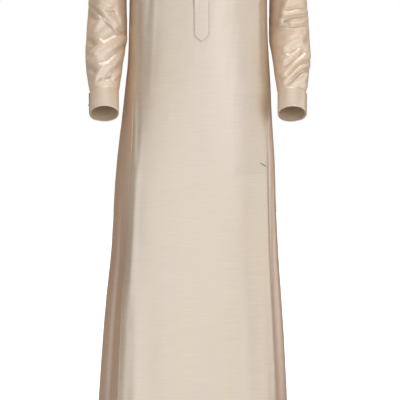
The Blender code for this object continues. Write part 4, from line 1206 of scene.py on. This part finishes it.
def sew_cuff(name, side, thread):
    start, end = cuff_ends()
    turns = np.linspace(start + 4.0, end - CUFF_END_GAP, 160)
    rows = [(turns, share + 0.0 * turns, 0.0004) for share in CUFF_ROWS]
    shares = np.linspace(*CUFF_ROWS, 20)
    rows.append((end - CUFF_END_GAP + 0.0 * shares, shares, 0.0006))
    lines = []
    for turn, share, proud in rows:
        points = cuff_surface(side, turn, share, BAND_HALF + proud)
        inner = cuff_surface(side, turn, share, -0.01)
        lines.append((points, unit(points - inner)))
    add_stitches("cuff_stitches_" + name, lines, thread)


def sew_collar(thread):
    turns = np.linspace(COLLAR_UNDER_END - 2.0, COLLAR_OVER_END + 2.0, 240)
    lines = []
    for share in COLLAR_ROWS:
        height = share + 0.0 * turns
        points = collar_point(turns, height, BAND_HALF + 0.0005)
        lines.append((points, unit(points - collar_point(turns, height, -0.01))))
    add_stitches("collar_stitches", lines, thread)


def sew_hem(thread):
    angles = np.linspace(-180.0, 180.0, 500)
    points = body_point(angles, HEM_Z + HEM_DEPTH + 0.0 * angles)
    outward = unit(np.cross(np.gradient(points, axis=0), np.array([0.0, 0.0, 1.0])))
    outward *= np.sign(np.sum(outward * points * LEVEL))
    add_stitches("hem_stitches", [(points + outward * SHELL * 0.55, outward)], thread)


def make_sewing():
    thread = thread_material()
    sew_placket(thread)
    for name, side in SIDES.items():
        sew_cuff(name, side, thread)
    sew_collar(thread)
    sew_hem(thread)


# Bar tacks: degrees in front of the side seam where each starts, and its run back
BarTack = namedtuple("BarTack", "side start run")
BAR_TACKS = [BarTack(-1, 4.2, 3.2), BarTack(1, 14.5, 8.0)]
BAR_TACK_ROWS = 9
BAR_TACK_PITCH = 0.00032
BAR_TACK_DROP = 0.007
BAR_TACK_FALL = 0.010


def make_bar_tacks():
    """Short dense bars below the ends of the pocket mouths."""
    thread = grained_material("bar_tack_thread", BAR_TACK_COLOURS, (3000.0, 3000.0, 3000.0),
                              Roughness=0.6)
    along = np.linspace(0.0, 1.0, 12)
    lines = []
    for tack in BAR_TACKS:
        for row in range(BAR_TACK_ROWS):
            z = POCKET_MOUTH_END_Z - BAR_TACK_DROP - BAR_TACK_PITCH * row
            seam = seam_angle(np.array(z - BODICE_Z), "front")
            angle = tack.side * (seam - tack.start + tack.run * along)
            points = body_point(angle, z - BAR_TACK_FALL * along)
            outward = unit(points * LEVEL)
            lines.append((points + outward * (SHELL * 0.5 + 0.0003), outward))
    add_stitches("pocket_bar_tacks", lines, thread)


def lathe(profile, sides):
    """Vertices and faces of a turned form, from (radius, height) points."""
    verts, faces = [], []
    for radius, height in profile:
        for i in range(sides):
            turn = 2.0 * math.pi * i / sides
            verts.append((radius * math.cos(turn), radius * math.sin(turn), height))
    for r in range(len(profile) - 1):
        for i in range(sides):
            j = (i + 1) % sides
            faces.append((r * sides + i, r * sides + j, (r + 1) * sides + j, (r + 1) * sides + i))
    faces.append(tuple(range(sides))[::-1])
    last = (len(profile) - 1) * sides
    faces.append(tuple(last + i for i in range(sides)))
    return verts, faces


# A button's outline, as shares of its radius and heights, then its holes and thread
BUTTON_OUTLINE = [(0.70, -0.0011), (0.93, -0.0008), (1.00, -0.0001), (0.99, 0.0006),
                  (0.93, 0.0011), (0.84, 0.00115), (0.74, 0.0009), (0.66, 0.0004),
                  (0.55, 0.0003), (0.20, 0.0003)]
BUTTON_SIDES = 40
HOLE_RADIUS = 0.00062
HOLE_REACH = 0.00150
THREAD_X = 0.00106
THREAD_SHIFT = 0.00022
THREAD_REACH = 0.00125
THREAD_HEIGHT = 0.00042
CUFF_X = 0.2672
CUFF_Y = -0.0895


def button_material():
    return grained_material("button_shell", BUTTON_COLOURS, (220.0, 220.0, 500.0), detail=3.0,
                            low=0.3, high=0.7, Roughness=0.25, Coat_Weight=0.4,
                            Coat_Roughness=0.12)


def button_stand(node):
    """Centre and outward direction of a button's solid."""
    low, high = [np.array(corner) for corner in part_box(node)]
    centre = (low + high) / 2.0
    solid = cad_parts[node]
    points = np.empty(len(solid.data.vertices) * 3)
    solid.data.vertices.foreach_get("co", points)
    matrix = np.array(solid.matrix_world)
    points = points.reshape(-1, 3) @ matrix[:3, :3].T + matrix[:3, 3]
    _, _, axes = np.linalg.svd(points - points.mean(axis=0), full_matrices=False)
    inside = np.array([0.0, 0.0, centre[2]])
    if "cuff" in node:
        side = -1 if node.endswith("left") else 1
        inside = np.array([side * CUFF_X, CUFF_Y, centre[2]])
    return centre, axes[2] * (-1.0 if axes[2].dot(centre - inside) < 0.0 else 1.0)


def drill(piece):
    """Four holes through a button that lies at the origin."""
    cutters = []
    for i in range(4):
        angle = math.pi / 4.0 + i * math.pi / 2.0
        where = (HOLE_REACH * math.cos(angle), HOLE_REACH * math.sin(angle), 0.0)
        bpy.ops.mesh.primitive_cylinder_add(vertices=14, radius=HOLE_RADIUS, depth=0.006,
                                            location=where)
        cutters.append(bpy.context.object)
        cut = piece.modifiers.new("hole", "BOOLEAN")
        cut.object = cutters[-1]
        cut.operation = "DIFFERENCE"
        cut.solver = "EXACT"
    deps = bpy.context.evaluated_depsgraph_get()
    drilled = bpy.data.meshes.new_from_object(piece.evaluated_get(deps))
    piece.modifiers.clear()
    piece.data = drilled
    for cutter in cutters:
        bpy.data.objects.remove(cutter, do_unlink=True)


def make_button(node, shell, thread):
    """Sewn four-hole button, in the place of its solid."""
    centre, normal = button_stand(node)
    outline = [(BUTTON_RADIUS * share, height) for share, height in BUTTON_OUTLINE]
    verts, faces = lathe(outline, BUTTON_SIDES)
    mesh = bpy.data.meshes.new(node.replace("button", "sewn_button"))
    mesh.from_pydata(verts, [], faces)
    mesh.materials.append(shell)
    mesh.shade_smooth()
    piece = place(mesh.name, mesh)
    drill(piece)
    turn = Vector(normal).to_track_quat("Z", "Y").to_matrix().to_4x4()
    piece.data.transform(Matrix.Translation(Vector(centre)) @ turn)
    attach(piece, "root")
    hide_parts(node)
    rotation = np.array(turn)[:3, :3]
    along = np.linspace(-THREAD_REACH, THREAD_REACH, 7)
    lines = []
    for x in (-THREAD_X, THREAD_X):
        for shift in (-THREAD_SHIFT, THREAD_SHIFT):
            moved = vec(x + shift, along, THREAD_HEIGHT) @ rotation.T + centre
            lines.append((moved, np.broadcast_to(normal, moved.shape)))
    add_stitches(node.replace("button", "button_thread"), lines, thread)


def build_robe():
    cloth = cloth_material("robe_cloth", CLOTH_COLOUR, 1.0)
    back_cloth = cloth_material("robe_cloth_back", CLOTH_COLOUR, 2.0)
    # The side panels take a darker, warmer copy of the cloth: painted shade
    side_shaded_cloth = cloth_material("robe_cloth_sides_painted_shade", GORE_SHADED_COLOUR, 3.0)
    # The gussets take a greyer copy of the cloth: painted shade
    gusset_shaded_cloth = cloth_material("robe_cloth_gussets_painted_shade", GUSSET_SHADED_COLOUR, 6.0)
    # The sleeves take a lighter copy of the cloth: painted light
    sleeve_lit_cloth = cloth_material("robe_cloth_sleeves_painted_light", SLEEVE_LIT_COLOUR, 4.0,
                                  roughness=0.46, ior=2.0)
    band_cloth = cloth_material("robe_cloth_bands", BAND_COLOUR, 5.0)
    make_front(cloth)
    make_back(back_cloth)
    for name, side in SIDES.items():
        make_gore(name, side, side_shaded_cloth)
        make_gusset(name, side, gusset_shaded_cloth)
        make_sleeve(name, side, sleeve_lit_cloth)
        make_cuff(name, side, band_cloth)
        make_pocket(name, side, band_cloth)
    make_collar(band_cloth)
    make_placket(cloth, cloth)
    make_sewing()
    make_bar_tacks()
    shell, thread = button_material(), thread_material()
    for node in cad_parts:
        if node.startswith("button"):
            make_button(node, shell, thread)


# Studio: camera, floor and soft light
AZIMUTH = -4.0
CAMERA_DISTANCE = 4.2
CAMERA_Z = -0.75
AIM_Z = -0.895
ACROSS = 0.0048
VIEW_WIDTH = 1.14
SENSOR = 36.0
FLOOR_Z = -1.530
AMBIENT = 0.72
AMBIENT_GLOSS = 0.06
FLOOR_SEEN = 0.95
FLOOR_BOUNCE = 0.34
FLOOR_GLOSS = 0.25
BACKDROP = 1.0
FLOOR_RADIUS = 14.0
FLOOR_SIDES = 96
SUN_STRENGTH = 2.4
SUN_ANGLE = 35.0

# The gloss lamps show in the cloth's shine alone, the key also lights it
Lamp = namedtuple("Lamp", "name place aim size power colour diffuse")
LAMPS = [
    Lamp("front_gloss", (-0.70, -3.30, -0.38), (0.0, 0.0, -0.9), (5.2, 2.25), 58.0,
         (0.97, 1.0, 1.0), False),
    Lamp("side_gloss", (3.10, -1.05, -0.45), (0.0, 0.0, -0.9), (4.4, 2.1), 45.0,
         (1.0, 0.98, 0.95), False),
    Lamp("key", (1.20, -2.80, 0.40), (0.0, 0.0, -0.8), (1.2, 1.2), 14.0, (1.0, 1.0, 1.0), True),
    Lamp("floor_gloss", (0.2, -1.75, -1.525), (0.2, -1.75, 0.0), (3.0, 3.0), 34.0,
         (0.96, 1.0, 1.0), False),
]


def add_camera():
    turn = math.radians(AZIMUTH)
    right = Vector((math.cos(turn), math.sin(turn), 0.0))
    toward = Vector((math.sin(turn), -math.cos(turn), 0.0))
    camera = place("camera", bpy.data.cameras.new("camera"))
    camera.data.sensor_width = SENSOR
    camera.data.lens = SENSOR * CAMERA_DISTANCE / VIEW_WIDTH
    camera.location = toward * CAMERA_DISTANCE + right * ACROSS + Vector((0.0, 0.0, CAMERA_Z))
    aim = right * ACROSS + Vector((0.0, 0.0, AIM_Z))
    camera.rotation_euler = (aim - camera.location).to_track_quat("-Z", "Y").to_euler()
    bpy.context.scene.camera = camera


def add_area(row):
    light = bpy.data.lights.new(row.name, "AREA")
    light.shape = "RECTANGLE"
    light.size, light.size_y = row.size
    light.energy = row.power
    light.color = row.colour
    lamp = place(row.name, light)
    lamp.visible_diffuse = row.diffuse
    lamp.visible_camera = False
    lamp.location = row.place
    toward = Vector(row.aim) - Vector(row.place)
    lamp.rotation_euler = toward.to_track_quat("-Z", "Y").to_euler()


def add_sun():
    """Light from straight above, which keeps the floor white."""
    light = bpy.data.lights.new("above", "SUN")
    light.energy = SUN_STRENGTH
    light.angle = math.radians(SUN_ANGLE)
    place("above", light)


def add_floor():
    """Pale round floor, with its own brightness for the camera, the light and the shine."""
    verts, faces = [(0.0, 0.0, FLOOR_Z)], []
    for i in range(FLOOR_SIDES):
        turn = 2.0 * math.pi * i / FLOOR_SIDES
        verts.append((FLOOR_RADIUS * math.cos(turn), FLOOR_RADIUS * math.sin(turn), FLOOR_Z))
        faces.append((0, 1 + i, 1 + (i + 1) % FLOOR_SIDES))
    mesh = bpy.data.meshes.new("floor")
    mesh.from_pydata(verts, [], faces)
    graph = Graph("floor_paper")
    path = graph.add("ShaderNodeLightPath")
    bounced = graph.span(path.outputs["Is Glossy Ray"], 0.0, 1.0, FLOOR_BOUNCE, FLOOR_GLOSS)
    tone = graph.add("ShaderNodeMapRange", {"To Max": FLOOR_SEEN})
    graph.link(path.outputs["Is Camera Ray"], tone.inputs["Value"])
    graph.link(bounced, tone.inputs["To Min"])
    graph.link(tone.outputs["Result"], graph.shader.inputs["Base Color"])
    graph.set(Roughness=0.9)
    mesh.materials.append(graph.material)
    floor = place("floor", mesh)


def add_world():
    world = bpy.data.worlds.new("studio")
    bpy.context.scene.world = world
    world.use_nodes = True
    tree = world.node_tree
    back = tree.nodes["Background"]
    back.inputs["Color"].default_value = (1.0, 1.0, 1.0, 1.0)
    path = tree.nodes.new("ShaderNodeLightPath")
    soft = tree.nodes.new("ShaderNodeMapRange")
    soft.inputs["To Min"].default_value = AMBIENT
    soft.inputs["To Max"].default_value = AMBIENT_GLOSS
    tree.links.new(path.outputs["Is Glossy Ray"], soft.inputs["Value"])
    strength = tree.nodes.new("ShaderNodeMapRange")
    strength.inputs["To Max"].default_value = BACKDROP
    tree.links.new(soft.outputs["Result"], strength.inputs["To Min"])
    tree.links.new(path.outputs["Is Camera Ray"], strength.inputs["Value"])
    tree.links.new(strength.outputs["Result"], back.inputs["Strength"])


build_robe()
add_camera()
add_floor()
add_world()
for lamp_row in LAMPS:
    add_area(lamp_row)
add_sun()
bpy.context.scene.view_settings.view_transform = "Standard"
